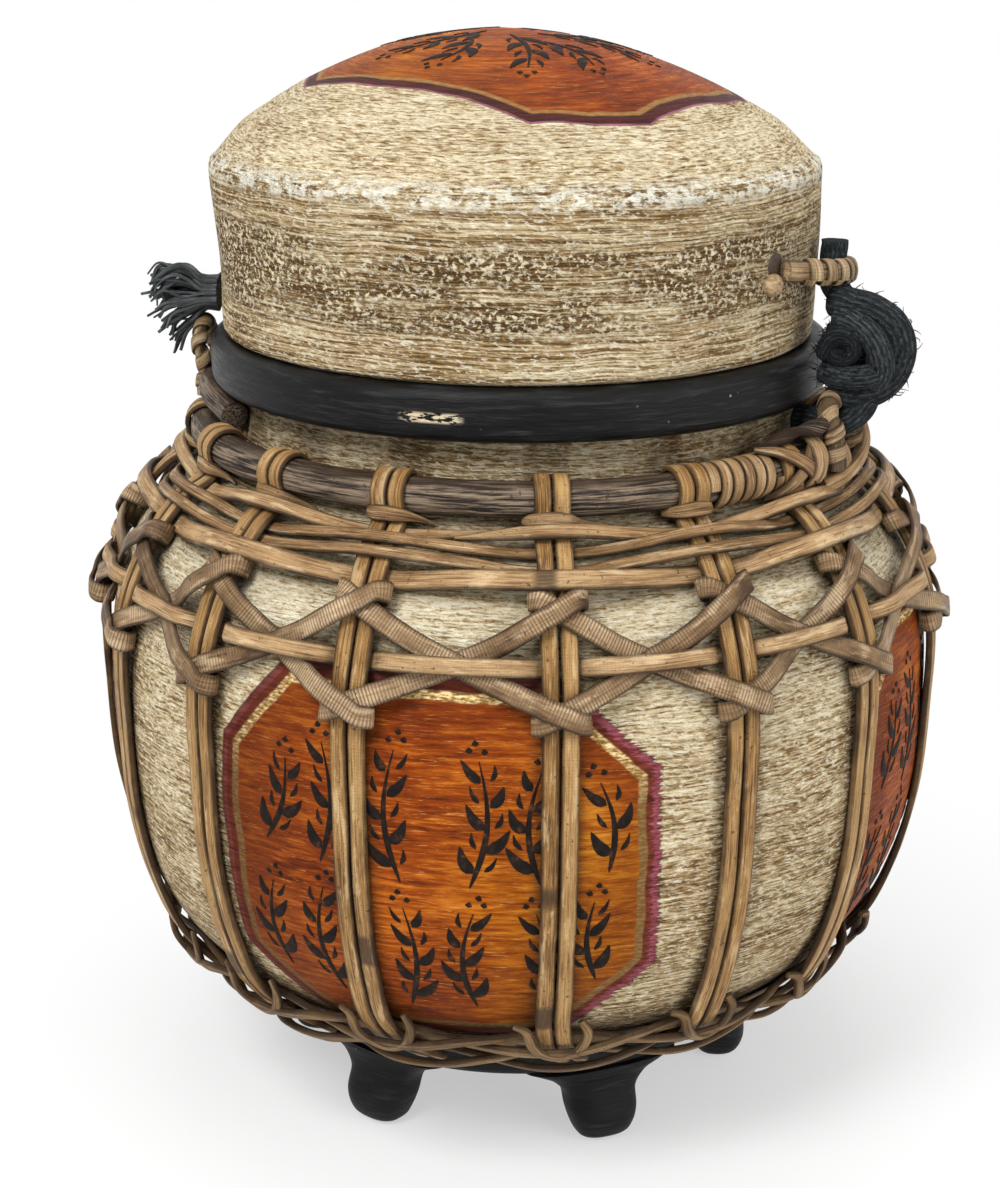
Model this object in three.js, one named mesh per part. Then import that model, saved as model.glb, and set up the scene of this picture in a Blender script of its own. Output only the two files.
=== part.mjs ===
// Lacquered bamboo rice pot in a woven cane cage, on a footed stand, with a lift-off domed lid
import * as THREE from 'three';

// Sizes in millimetres. The pot's axis is Z, the floor is at zero and the front looks along -Y.
const bellyRadius = 144.6;
const standHeight = 45;
const bodyHeight = 212;
const potWall = 5;
const potFloor = 5;
const seatGap = 0.3;
const half = 0.5;
const turn = 2 * Math.PI;
const degree = turn / 360;
const potSides = 40;

// Outline of the pot, as shares of the belly radius and of the body height
const potRadiusShares = [
  0.6086, 0.6777, 0.7469, 0.8077, 0.8617, 0.9073, 0.9516, 0.9834, 0.9986, 1, 0.9882,
  0.9557, 0.9142, 0.8665, 0.8264, 0.7856, 0.7227, 0.6943, 0.6805, 0.6729, 0.6708,
];
const potHeightShares = [
  0, 0.0142, 0.0425, 0.0802, 0.1226, 0.1698, 0.2358, 0.3255, 0.4245, 0.5425, 0.6368,
  0.717, 0.7736, 0.816, 0.8443, 0.867, 0.8962, 0.9104, 0.9245, 0.9528, 1,
];
const innerHeightShares = [0.95, 0.9, 0.83, 0.7, 0.5, 0.28, 0.1];
const slopeStep = 3;

// Upright mouth: the lip that the lid drops over, and the black ring round it
const lipThickness = 5;
const lipHeight = 27;
const ringHeight = 17;
const ringLedge = 4.6;
const ringRound = 3;
const ringInnerRound = 1;

// Lid: a drum with a hollow side and a low dome
const lidSideHeight = 57;
const lidWall = 6;
const lidFit = 3.5;
const lidFlare = 3.5;
const lidDomeHeight = 43;
const lidDomeLean = 7;
const lidHollow = 0.5;
const lidSideShares = [0, 0.35, 0.7, 0.92];
const lidDomeRadiusShares = [1, 0.985, 0.95, 0.88, 0.78, 0.65, 0.5, 0.32, 0.15, 0];
const lidDomeHeightShares = [0, 0.03, 0.12, 0.28, 0.43, 0.6, 0.755, 0.895, 0.965, 1];
const lidInnerRadiusShares = [0.98, 0.92, 0.62, 0.3, 0];
const lidInnerHeightShares = [0.03, 0.14, 0.52, 0.76, 0.84];

// Stand: a round plate on six carved feet that flare out at the toe
const plateInset = 4;
const plateHeight = 16.7;
const plateEdge = 4;
const footCount = 6;
const footTurn = -37 * degree;
const footHeightShares = [0, 0.1, 0.34, 0.6, 0.82, 1];
const footHalfWidth = 27;
const footWidthShares = [0.36, 0.48, 0.56, 0.6, 0.76, 1];
const footDepth = 22;
const footInnerShares = [0.36, 0.24, 0.12, 0.04, 0, 0];
const footOuterShares = [0.9, 1.08, 1.1, 0.9, 0.92, 0.98];
const footCornerShare = 0.6;
const plateSides = 36;

// Cane strips: width along the pot and thickness off it
const stakeWidth = 5.4;
const stakeThickness = 2.6;
const stakeSpacing = 5.9;
const shoulderLift = 0.5;
const hoopThickness = 2.2;
const hoopGap = 0.5;
const weaveGap = 0.4;
const foldGap = 0.8;
const foldThickness = 1.3;
const foldWidth = 7;
const caneSection = [[-1, -1], [1, -1], [0.64, 1], [-0.64, 1]];
const stripSection = [[-1, -1], [1, -1], [1, 1], [-1, 1]];

// Sixteen doubled uprights, set by hand and so not quite evenly spaced
const uprightAngles = [
  -43.3, -20.6, 5, 28, 49.5, 74.5, 97, 119, 141, 163, 185, 207, 229, 251.5, 274, 295.5,
];
const uprightShares = [
  0.028, 0.07, 0.13, 0.22, 0.34, 0.49, 0.62, 0.68, 0.725, 0.768, 0.812, 0.8443, 0.876,
];
const uprightHugShares = [1, 1, 1, 0.3, 0.25, 0.3, 0.9, 1, 1, 1, 1, 1, 1];
const leanReach = 9;
const leanShares = [1, 0.4, 0.05, 0, 0, 0, 0, 0, 0, 0, 0, 0, 0];
const shoulderShare = 0.78;
const wrapAngles = [-30, 20, 65, 110, 152];
const wrapSlack = 0.65;
const turnDrop = 3;
const turnInset = 0.7;

// Thick cane hoop round the neck, and the winding over its joint
const neckHoopGap = 0.45;
const neckHoopShare = 0.926;
const neckHoopTube = 5.7;
const tubeSides = 8;
const windingSteps = 16;
const windingWidth = 4.8;
const windingThickness = 1.3;
const windingPitch = 5.6;
const windingUpright = 3;
const windingClear = 0.95;
const windingSlack = 0.15;

// Hoops woven round the shoulder: height on the pot as a share, and width
const shoulderHoopShares = [0.8635, 0.8425, 0.815];
const shoulderHoopWidths = [3.8, 6.4, 7];
const plateauSlack = 0.75;
const tipWidth = 1;
const tipAngle = 9 * degree;
const tipOverlap = 5 * degree;
const spiralStart = -9.5 * degree;
const spiralRise = 1.5;

// Belt hoop and the two folded strips that zigzag across it
const beltShare = 0.7155;
const beltWidth = 5.8;
const beltRamp = 3.8;
const beltSlack = 0.7;
const crossingShare = 0.719;
const topFoldShare = 0.768;
const lowFoldShare = 0.6415;
const foldSlack = 0.8;
const foldPass = 1;
const foldRamp = 4.2;
const cornerTiltShare = 0.5;
const passSlope = 34 * degree;

// Twined strands round the foot of the cage: height share, width, thickness, swing up and down
const bandShares = [0.1, 0.045];
const bandWidths = [3.2, 4.2];
const bandThickness = 1.8;
const bandSwings = [3.1, 3.7];
const bandSkew = 0.8;
const bandLeans = [2, 6.6];
const bandSlack = 2.15;

// Cane bails that stand on the neck hoop
const bailAngles = [64.5, 262.7];
const bailTube = 3.6;
const bailHalfSpan = 8.8;
const bailLegDrop = 3;
const bailSnug = 0.1;
const bailWaistReaches = [7.5, 3];
const bailTopReaches = [4, 7];
const bailTopRises = [19.4, 31];
const bailWaistShare = 0.42;
const bailShoulderShare = 0.8;
const bailSteps = 14;

// Strap loops on the side of the lid
const loopAngles = [70, 234];
const loopHalfAngle = 16 * degree;
const loopRise = 26;
const loopWidth = 8.4;
const loopThickness = 5.2;
const loopSwellShares = [0, 0.26, 0.68, 0.95, 1, 0.95, 0.68, 0.26, 0];
const loopSwell = 10.3;
const loopSection = [[-1, -0.5], [-0.5, -1], [0.5, -1], [1, -0.5], [1, 0.5], [0.5, 1], [-0.5, 1], [-1, 0.5]];

// Tie cords: points chosen by hand, as angle, reach and rise, measured from the neck hoop where the
// share is 0 and from the lid's lower edge where it is 1
const cordRadius = 4.6;
const knotRadius = 12.3;
const rightCord = [
  [64.5, -7.8, 10.9, 0], [64.5, 1.2, 10.9, 0], [64.5, 9.2, 11.3, 0], [65, 15.2, 17.2, 0],
  [66, 19.5, 15.7, 0.3], [67, 19, 15.7, 0.6], [68.5, 14.8, 18.6, 0.8], [69.7, 10.2, 17.4, 1],
  [70, 7.2, 22.4, 1], [70, 7.2, 28.4, 1], [70, 7.2, 35.4, 1],
];
const leftCord = [
  [234, 7.2, 35.4, 1], [234, 7.2, 28.4, 1], [234, 7.2, 21.4, 1], [236, 8.8, 15.4, 1],
  [241, 9.4, 17.1, 0.8], [248, 8.6, 20.7, 0.6], [254.5, 5.6, 26.9, 0.4], [259.5, 3.5, 33.8, 0.2],
  [262.3, 4.8, 41, 0], [262.7, 8.8, 41, 0], [262.7, 11.2, 41, 0],
];
const knotFromShare = 0.34;
const knotToShare = 0.63;
const knotSwellShares = [0.3, 0.72, 0.94, 1, 0.94, 0.72, 0.3];
const cordSteps = 16;
const cordSides = 8;
const frameSteps = 240;
const tasselLength = 17;
const tasselShares = [0, 0.3, 0.62, 0.9, 1];
const tasselHeightShares = [0.34, 0.6, 0.88, 1, 0.7];
const tasselHalfHeight = 13;
const tasselHalfWidth = 8;
const tasselDrop = 3;

// Places worked out from the sizes above
const neckTop = standHeight + bodyHeight;
const neckRadius = bellyRadius * potRadiusShares[potRadiusShares.length - 1];
const lipRadius = neckRadius - lipThickness + seatGap;
const lidBottomRadius = lipRadius + lidFit + lidWall;
const lidCreaseRadius = lidBottomRadius + lidFlare;
const ringReach = lidFit + lidWall + ringLedge;
const plateRadius = bellyRadius * potRadiusShares[0] - plateInset;
const ringBottom = neckTop + seatGap;
const ringTop = ringBottom + ringHeight;
const lidBottom = ringTop + seatGap;
const creaseHeight = lidBottom + lidSideHeight;
const neckHoopHeight = shareHeight(neckHoopShare);
const windingOutside = neckHoopTube + seatGap + windingSlack + windingThickness;
const shoulderTouch = windingOutside * Math.SQRT1_2;
const neckHoopRadius = potRadius(neckHoopHeight - shoulderTouch) + shoulderTouch + neckHoopGap;
const uprightRadians = uprightAngles.map((angle) => angle * degree);
const stakeStandOff = hoopGap + hoopThickness + weaveGap;
const frontOfUprights = stakeStandOff + stakeThickness;
const bailLegReach = neckHoopTube + bailTube + bailSnug;
const insideFold = foldGap + foldThickness * half;
const pairReach = (stakeSpacing + stakeWidth) * half;
const plateauReach = pairReach + plateauSlack;
const beltRampReach = plateauReach + beltRamp;
const foldStack = 2 * (foldThickness + seatGap);
const beltLift = foldGap + foldStack + beltSlack + hoopThickness * half;
const foldReach = pairReach + foldThickness * half + foldSlack;
const foldPassReach = foldReach + foldPass;
const foldRampReach = foldReach + foldRamp;
const bandReach = pairReach + bandSlack;
const windingReach = pairReach + windingClear + windingWidth * half;

const up = new THREE.Vector3(0, 0, 1);

function outward(angle) {
  return new THREE.Vector3(Math.sin(angle), -Math.cos(angle), 0);
}

function around(angle) {
  return new THREE.Vector3(Math.cos(angle), Math.sin(angle), 0);
}

function polar(angle, radius, height) {
  return outward(angle).multiplyScalar(radius).addScaledVector(up, height);
}

function shareHeight(share) {
  return standHeight + bodyHeight * share;
}

function potRadius(height) {
  const share = (height - standHeight) / bodyHeight;
  const last = potHeightShares.length - 1;
  let k = 1;
  while (k < last && share > potHeightShares[k]) k += 1;
  const low = potHeightShares[k - 1];
  const part = (share - low) / (potHeightShares[k] - low);
  const from = potRadiusShares[k - 1];
  return bellyRadius * (from + (potRadiusShares[k] - from) * part);
}

// A place on the pot: point at a stand-off, with the outward, upward and sideways directions
function onPot(angle, height, standOff) {
  const rise = potRadius(height + slopeStep) - potRadius(height - slopeStep);
  const slope = rise * half / slopeStep;
  const length = Math.hypot(1, slope);
  const out = outward(angle);
  const normal = out.clone().addScaledVector(up, -slope).divideScalar(length);
  const climb = out.clone().multiplyScalar(slope).add(up).divideScalar(length);
  const point = polar(angle, potRadius(height), height).addScaledVector(normal, standOff);
  return { point, normal, climb, side: around(angle), lift: 1 / length };
}

function signedVolume(points, index) {
  let volume = 0;
  for (let k = 0; k < index.length; k += 3) {
    const [a, b, c] = [points[index[k]], points[index[k + 1]], points[index[k + 2]]];
    volume += a.dot(b.clone().cross(c));
  }
  return volume;
}

// Skin over a row of rings of equal count, closed on itself or capped at both ends
function skin(rings, closed) {
  const count = rings[0].length;
  const points = rings.flat();
  const index = [];
  const spans = closed ? rings.length : rings.length - 1;
  for (let i = 0; i < spans; i += 1) {
    const a = i * count;
    const b = ((i + 1) % rings.length) * count;
    for (let j = 0; j < count; j += 1) {
      const k = (j + 1) % count;
      index.push(a + j, a + k, b + k, a + j, b + k, b + j);
    }
  }
  if (!closed) {
    const end = (rings.length - 1) * count;
    for (let j = 1; j < count - 1; j += 1) {
      index.push(0, j + 1, j);
      index.push(end, end + j, end + j + 1);
    }
  }
  if (signedVolume(points, index) < 0) index.reverse();
  const geometry = new THREE.BufferGeometry();
  const flat = points.flatMap((p) => [p.x, p.y, p.z]);
  geometry.setAttribute('position', new THREE.Float32BufferAttribute(flat, 3));
  geometry.setIndex(index);
  return geometry;
}

// Ring of a strip's section: half width and half thickness are vectors
function ring(place, section) {
  return section.map(([across, off]) => place.point.clone()
    .addScaledVector(place.wide, across)
    .addScaledVector(place.thick, off));
}

function strip(places, section, closed) {
  return skin(places.map((place) => ring(place, section)), closed);
}

function revolve(outline, sides) {
  const points = outline.map(([radius, height]) => new THREE.Vector2(radius, height));
  const geometry = new THREE.LatheGeometry(points, sides);
  geometry.rotateX(turn / 4);
  return geometry;
}

function potShell() {
  const outer = potRadiusShares.map((share, k) => [bellyRadius * share, shareHeight(potHeightShares[k])]);
  const inner = innerHeightShares.map((share) => {
    const place = onPot(0, shareHeight(share), -potWall);
    return [-place.point.y, place.point.z];
  });
  const lipTop = neckTop + lipHeight;
  const lipInside = lipRadius - lipThickness;
  const floorTop = standHeight + potFloor;
  const outline = [[0, standHeight], ...outer];
  outline.push([lipRadius, neckTop], [lipRadius, lipTop], [lipInside, lipTop]);
  outline.push([lipInside, neckTop - lipThickness], ...inner);
  outline.push([outer[0][0] - potFloor, floorTop], [0, floorTop]);
  return revolve(outline, potSides);
}

function rimRing() {
  const inside = lipRadius + seatGap;
  const outside = lipRadius + ringReach;
  return revolve([
    [inside, ringBottom],
    [outside - ringRound, ringBottom],
    [outside, ringBottom + ringRound],
    [outside, ringTop - ringRound],
    [outside - ringRound, ringTop],
    [inside + ringInnerRound, ringTop],
    [inside, ringTop - ringInnerRound],
    [inside, ringBottom],
  ], potSides);
}

// The dome was turned by hand: its top sits a little to one side
function lidShell() {
  const outline = [[lidBottomRadius - lidWall, lidBottom]];
  lidSideShares.forEach((share) => {
    const hollow = lidHollow * Math.sin(share * turn * half);
    outline.push([lidBottomRadius + lidFlare * share - hollow, lidBottom + lidSideHeight * share]);
  });
  lidDomeRadiusShares.forEach((share, k) => {
    outline.push([lidCreaseRadius * share, creaseHeight + lidDomeHeight * lidDomeHeightShares[k]]);
  });
  const inside = lidCreaseRadius - lidWall;
  lidInnerRadiusShares.slice().reverse().forEach((share, k) => {
    const rise = lidInnerHeightShares[lidInnerHeightShares.length - 1 - k];
    outline.push([inside * share, creaseHeight + lidDomeHeight * rise]);
  });
  outline.push([lidBottomRadius - lidWall, lidBottom]);
  const geometry = revolve(outline, potSides);
  const places = geometry.attributes.position;
  for (let i = 0; i < places.count; i += 1) {
    const rise = Math.max(0, places.getZ(i) - creaseHeight) / lidDomeHeight;
    places.setX(i, places.getX(i) - lidDomeLean * rise);
  }
  return geometry;
}

function standPlate() {
  const top = standHeight - seatGap;
  const bottom = top - plateHeight;
  return revolve([
    [0, bottom],
    [plateRadius - plateEdge, bottom],
    [plateRadius, bottom + plateEdge],
    [plateRadius, top - plateEdge],
    [plateRadius - plateEdge, top],
    [0, top],
  ], plateSides);
}

function foot(angle) {
  const height = standHeight - seatGap - plateHeight;
  const rings = footHeightShares.map((share, k) => {
    const inner = plateRadius - footDepth + footDepth * footInnerShares[k];
    const outer = plateRadius - footDepth + footDepth * footOuterShares[k];
    const wide = footHalfWidth * footWidthShares[k];
    const corner = wide * footCornerShare;
    const middle = (inner + outer) * half;
    const corners = [
      [-corner, inner], [corner, inner], [wide, middle], [corner, outer], [0, outer], [-corner, outer],
      [-wide, middle],
    ];
    return corners.map(([across, reach]) => polar(angle, reach, height * share)
      .addScaledVector(around(angle), across));
  });
  return skin(rings, false);
}

function neckHoop() {
  const rings = [];
  for (let i = 0; i <= tubeSides; i += 1) {
    const angle = turn * i / tubeSides;
    const radius = neckHoopRadius + neckHoopTube * Math.cos(angle);
    rings.push([radius, neckHoopHeight + neckHoopTube * Math.sin(angle)]);
  }
  return revolve(rings, potSides);
}

// A strip bound over the joint of the neck hoop, as one unbroken helix
function hoopWinding() {
  const radius = windingOutside - windingThickness * half;
  const places = [];
  const room = (uprightRadians[windingUpright + 1] - uprightRadians[windingUpright]) * neckHoopRadius;
  const turns = Math.floor((room - 2 * windingReach) / windingPitch);
  const steps = turns * windingSteps;
  for (let i = 0; i <= steps; i += 1) {
    const travel = windingPitch * i / windingSteps;
    const angle = uprightRadians[windingUpright] + (windingReach + travel) / neckHoopRadius;
    const roll = turn * i / windingSteps;
    const out = outward(angle).multiplyScalar(Math.cos(roll)).addScaledVector(up, Math.sin(roll));
    const point = polar(angle, neckHoopRadius, neckHoopHeight).addScaledVector(out, radius);
    const wide = around(angle).multiplyScalar(windingWidth * half);
    places.push({ point, wide, thick: out.multiplyScalar(windingThickness * half) });
  }
  const rings = places.map((place) => ring(place, stripSection));
  let least = Infinity;
  rings.forEach((a, i) => rings.slice(i + windingSteps * half).forEach((b) => {
    a.forEach((p) => b.forEach((q) => { least = Math.min(least, p.distanceTo(q)); }));
  }));
  console.log('least gap of the winding to itself, mm', least.toFixed(3));
  return skin(rings, false);
}

// One cane, up the pot, over the neck hoop, turned behind it and down again beside itself
function uprightPair(angle) {
  const leg = (hand) => {
    const across = hand * stakeSpacing * half;
    const places = uprightShares.map((share, k) => {
      const height = shareHeight(share);
      const lean = leanReach * leanShares[k];
      const lift = share > shoulderShare ? shoulderLift : 0;
      const standOff = hoopGap + (stakeStandOff - hoopGap) * uprightHugShares[k] + stakeThickness * half;
      const at = onPot(angle + (across + lean) / potRadius(height), height, standOff + lift);
      const wide = at.side.multiplyScalar(stakeWidth * half);
      return { point: at.point, wide, thick: at.normal.multiplyScalar(stakeThickness * half) };
    });
    const wrapRadius = neckHoopTube + seatGap + wrapSlack + stakeThickness * half;
    wrapAngles.forEach((roll) => {
      const cosine = Math.cos(roll * degree);
      const radius = neckHoopRadius + wrapRadius * cosine;
      const here = angle + across / radius;
      const out = outward(here).multiplyScalar(cosine).addScaledVector(up, Math.sin(roll * degree));
      const point = polar(here, neckHoopRadius, neckHoopHeight).addScaledVector(out, wrapRadius);
      const wide = around(here).multiplyScalar(stakeWidth * half);
      places.push({ point, wide, thick: out.multiplyScalar(stakeThickness * half) });
    });
    return places;
  };
  const left = leg(-1);
  const right = leg(1).reverse();
  right.forEach((place) => place.wide.negate());
  const end = left[left.length - 1];
  const other = right[0];
  const middle = end.point.clone().add(other.point).multiplyScalar(half)
    .addScaledVector(up, -turnDrop).addScaledVector(outward(angle), -turnInset);
  const wide = up.clone().multiplyScalar(stakeWidth * half);
  const fold = { point: middle, wide, thick: end.thick.clone().add(other.thick).multiplyScalar(half) };
  return strip([...left, fold, ...right], caneSection, false);
}

function angleBetween(k) {
  const next = uprightRadians[(k + 1) % uprightRadians.length];
  const here = uprightRadians[k];
  return here + (((next - here) % turn + turn) % turn) * half;
}

// Middle of a hoop's thickness where it runs inside and outside an upright
const hoopInside = hoopGap + hoopThickness * half;
const hoopOutside = frontOfUprights + shoulderLift + 2 * seatGap + hoopThickness * half;

function hoopPlace(angle, height, standOff, width) {
  const at = onPot(angle, height, standOff);
  const wide = at.climb.multiplyScalar(width * half);
  return { point: at.point, wide, thick: at.normal.multiplyScalar(hoopThickness * half) };
}

// Closed hoop that goes in front of every other upright
function wovenHoop(share, width, first) {
  const height = shareHeight(share);
  const reach = plateauReach / potRadius(height);
  const middle = (hoopInside + hoopOutside) * half;
  const places = [];
  uprightRadians.forEach((angle, k) => {
    const standOff = (k + first) % 2 ? hoopOutside : hoopInside;
    places.push(hoopPlace(angle - reach, height, standOff, width));
    places.push(hoopPlace(angle + reach, height, standOff, width));
    places.push(hoopPlace(angleBetween(k), height, middle, width));
  });
  return strip(places, stripSection, true);
}

// Top hoop: an open strip whose tapered ends lie one above the other
function spiralHoop(share, width, first) {
  const base = shareHeight(share);
  const reach = plateauReach / potRadius(base);
  const middle = (hoopInside + hoopOutside) * half;
  const whole = turn + tipOverlap;
  const stops = [[0, middle], [tipAngle, middle]];
  const order = uprightRadians.map((angle, k) => [((angle - spiralStart) % turn + turn) % turn, k]);
  order.sort((a, b) => a[0] - b[0]);
  order.forEach(([travel, k]) => {
    const standOff = (k + first) % 2 ? hoopOutside : hoopInside;
    stops.push([travel - reach, standOff], [travel + reach, standOff]);
    const onward = ((angleBetween(k) - spiralStart) % turn + turn) % turn;
    if (onward > travel) stops.push([onward, middle]);
  });
  stops.push([whole - tipAngle * half, middle], [whole, middle]);
  stops.sort((a, b) => a[0] - b[0]);
  const places = stops.map(([travel, standOff]) => {
    const near = Math.min(1, Math.min(travel, whole - travel) / tipAngle);
    const wide = tipWidth + (width - tipWidth) * near;
    const height = base + spiralRise * (travel / whole - half);
    return hoopPlace(spiralStart + travel, height, standOff, wide);
  });
  return strip(places, stripSection, false);
}

// Belt hoop: behind every upright, and out over the crossed strips between them
function beltHoop() {
  const height = shareHeight(beltShare);
  const radius = potRadius(height);
  const places = [];
  uprightRadians.forEach((angle, k) => {
    places.push(hoopPlace(angle - beltRampReach / radius, height, beltLift, beltWidth));
    places.push(hoopPlace(angle - plateauReach / radius, height, hoopInside, beltWidth));
    places.push(hoopPlace(angle + plateauReach / radius, height, hoopInside, beltWidth));
    places.push(hoopPlace(angle + beltRampReach / radius, height, beltLift, beltWidth));
    places.push(hoopPlace(angleBetween(k), height, beltLift, beltWidth));
  });
  return strip(places, stripSection, true);
}

// Zigzag strip: at each upright it crosses in front, folds round the back and crosses itself
function zigzag(first, layer) {
  const crossHeight = shareHeight(crossingShare);
  const atCrossing = insideFold + layer * (foldThickness + 2 * seatGap);
  const underPass = frontOfUprights + shoulderLift + seatGap + foldThickness * half;
  const overPass = underPass + foldThickness + seatGap;
  const places = [];
  uprightRadians.forEach((angle, k) => {
    const top = (k + first) % 2 === 0;
    const height = shareHeight(top ? topFoldShare : lowFoldShare);
    const hand = top ? 1 : -1;
    const lift = onPot(angle, height, 0).lift;
    const rampSlope = (gap) => {
      const run = gap * potRadius(height) - foldPassReach;
      const climb = (height - crossHeight) * hand / lift - foldPassReach * Math.tan(passSlope);
      return climb / run;
    };
    const before = angle - angleBetween((k + uprightRadians.length - 1) % uprightRadians.length);
    const gapBefore = ((before % turn) + turn) % turn;
    const gapAfter = (((angleBetween(k) - angle) % turn) + turn) % turn;
    const add = (across, climb, standOff, slope, out, side) => {
      const level = height + climb * lift * hand;
      const at = onPot(angle + across / potRadius(level), level, standOff);
      const wide = at.climb.clone().multiplyScalar(Math.cos(slope));
      wide.addScaledVector(at.side, -Math.sin(slope)).multiplyScalar(foldWidth * half);
      const thick = at.normal.clone().multiplyScalar(out).addScaledVector(at.side, side);
      places.push({ point: at.point, wide, thick: thick.multiplyScalar(foldThickness * half) });
    };
    const climbPass = foldPassReach * Math.tan(passSlope);
    const climbFold = foldReach * Math.tan(passSlope);
    const inSlope = rampSlope(gapBefore);
    const outSlope = rampSlope(gapAfter);
    const rampIn = climbPass + (foldRampReach - foldPassReach) * inSlope;
    const rampOut = climbPass + (foldRampReach - foldPassReach) * outSlope;
    const passTilt = passSlope * hand;
    add(-foldRampReach, -rampIn, atCrossing, Math.atan(inSlope) * hand, 1, 0);
    add(-foldPassReach, -climbPass, overPass, passTilt, 1, 0);
    add(foldReach, climbFold, overPass, passTilt * cornerTiltShare, 1, 1);
    add(foldReach, climbFold, insideFold, 0, -1, 1);
    add(-foldReach, climbFold, insideFold, 0, -1, -1);
    add(-foldReach, climbFold, underPass, -passTilt * cornerTiltShare, 1, -1);
    add(foldPassReach, -climbPass, underPass, -passTilt, 1, 0);
    add(foldRampReach, -rampOut, atCrossing, -Math.atan(outSlope) * hand, 1, 0);
    const middle = onPot(angleBetween(k), crossHeight, atCrossing);
    const tilt = -Math.atan(outSlope) * hand;
    const wide = middle.climb.multiplyScalar(Math.cos(tilt));
    wide.addScaledVector(middle.side, -Math.sin(tilt)).multiplyScalar(foldWidth * half);
    places.push({ point: middle.point, wide, thick: middle.normal.multiplyScalar(foldThickness * half) });
  });
  return strip(places, stripSection, true);
}

// One of two strands that twine round each other, swapping front and back at every upright
function twinedStrand(row, hand) {
  const height = shareHeight(bandShares[row]);
  const radius = potRadius(height);
  const width = bandWidths[row];
  const inside = hoopGap + bandThickness * half;
  const outside = frontOfUprights + shoulderLift + seatGap + bandThickness * half;
  const middle = (inside + outside) * half;
  const lean = bandLeans[row];
  const places = [];
  const add = (angle, level, standOff) => {
    const at = onPot(angle, level, standOff);
    const wide = at.climb.multiplyScalar(width * half);
    places.push({ point: at.point, wide, thick: at.normal.multiplyScalar(bandThickness * half) });
  };
  uprightRadians.forEach((angle, k) => {
    const front = (k + hand) % 2 === 0;
    const standOff = front ? outside : inside;
    const centre = angle + lean / radius;
    const side = front ? 1 : -1;
    const lift = onPot(angle, height, 0).lift;
    add(centre - bandReach / radius, height, standOff);
    add(centre + bandReach / radius, height, standOff);
    const level = height + side * bandSwings[row] * lift;
    add(angleBetween(k) + lean / radius, level, middle + side * bandSkew);
  });
  return strip(places, stripSection, true);
}

// Section of a round cane or cord, turned to stand across its path
function tubeRings(curve, steps, sides, radiusAt, from = 0, to = 1) {
  const frames = curve.computeFrenetFrames(frameSteps, false);
  const rings = [];
  for (let i = 0; i <= steps; i += 1) {
    const share = from + (to - from) * i / steps;
    const centre = curve.getPointAt(share);
    const at = Math.round(share * frameSteps);
    const radius = radiusAt(i / steps);
    const list = [];
    for (let j = 0; j < sides; j += 1) {
      const angle = turn * j / sides;
      list.push(centre.clone()
        .addScaledVector(frames.normals[at], radius * Math.cos(angle))
        .addScaledVector(frames.binormals[at], radius * Math.sin(angle)));
    }
    rings.push(list);
  }
  return rings;
}

function bail(which) {
  const angle = bailAngles[which] * degree;
  const rise = bailTopRises[which];
  const legRadius = neckHoopRadius + bailLegReach;
  const waistRadius = neckHoopRadius + bailWaistReaches[which];
  const topRadius = neckHoopRadius + bailTopReaches[which];
  const point = (across, radius, height) => polar(angle, radius, neckHoopHeight + height)
    .addScaledVector(around(angle), across);
  const waist = rise * bailWaistShare;
  const shoulder = rise * bailShoulderShare;
  const curve = new THREE.CatmullRomCurve3([
    point(-bailHalfSpan, legRadius, -bailLegDrop),
    point(-bailHalfSpan, legRadius, bailLegDrop),
    point(-bailHalfSpan, waistRadius, waist),
    point(-bailHalfSpan, topRadius, shoulder),
    point(0, topRadius, rise),
    point(bailHalfSpan, topRadius, shoulder),
    point(bailHalfSpan, waistRadius, waist),
    point(bailHalfSpan, legRadius, bailLegDrop),
    point(bailHalfSpan, legRadius, -bailLegDrop),
  ]);
  return skin(tubeRings(curve, bailSteps, tubeSides, () => bailTube), false);
}

function lidLoop(which) {
  const centre = loopAngles[which] * degree;
  const flare = lidFlare * loopRise / lidSideHeight;
  const base = lidBottomRadius + flare + seatGap + loopThickness * half;
  const last = loopSwellShares.length - 1;
  const places = loopSwellShares.map((share, k) => {
    const angle = centre + loopHalfAngle * (2 * k / last - 1);
    const point = polar(angle, base + loopSwell * share, lidBottom + loopRise);
    const wide = up.clone().multiplyScalar(loopWidth * half);
    return { point, wide, thick: outward(angle).multiplyScalar(loopThickness * half) };
  });
  return strip(places, loopSection, false);
}

function cordPlace([angle, reach, rise, share]) {
  const radius = neckHoopRadius + (lidBottomRadius - neckHoopRadius) * share + reach;
  const height = neckHoopHeight + (lidBottom - neckHoopHeight) * share + rise;
  return { angle: angle * degree, radius, height };
}

function cordCurve(route) {
  const places = route.map(cordPlace);
  return new THREE.CatmullRomCurve3(places.map((place) => polar(place.angle, place.radius, place.height)));
}

// Plain stretch of the right cord between two shares of its length
function rightTie(from, to) {
  return skin(tubeRings(cordCurve(rightCord), cordSteps * half, cordSides, () => cordRadius, from, to), false);
}

// Outer shape of the big knot in the right cord
function rightKnot() {
  const last = knotSwellShares.length - 1;
  const radiusAt = (share) => {
    const swell = knotSwellShares[Math.round(share * last)];
    return cordRadius + (knotRadius - cordRadius) * swell;
  };
  return skin(tubeRings(cordCurve(rightCord), last, cordSides, radiusAt, knotFromShare, knotToShare), false);
}

function leftTie() {
  return skin(tubeRings(cordCurve(leftCord), cordSteps, cordSides, () => cordRadius), false);
}

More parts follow.
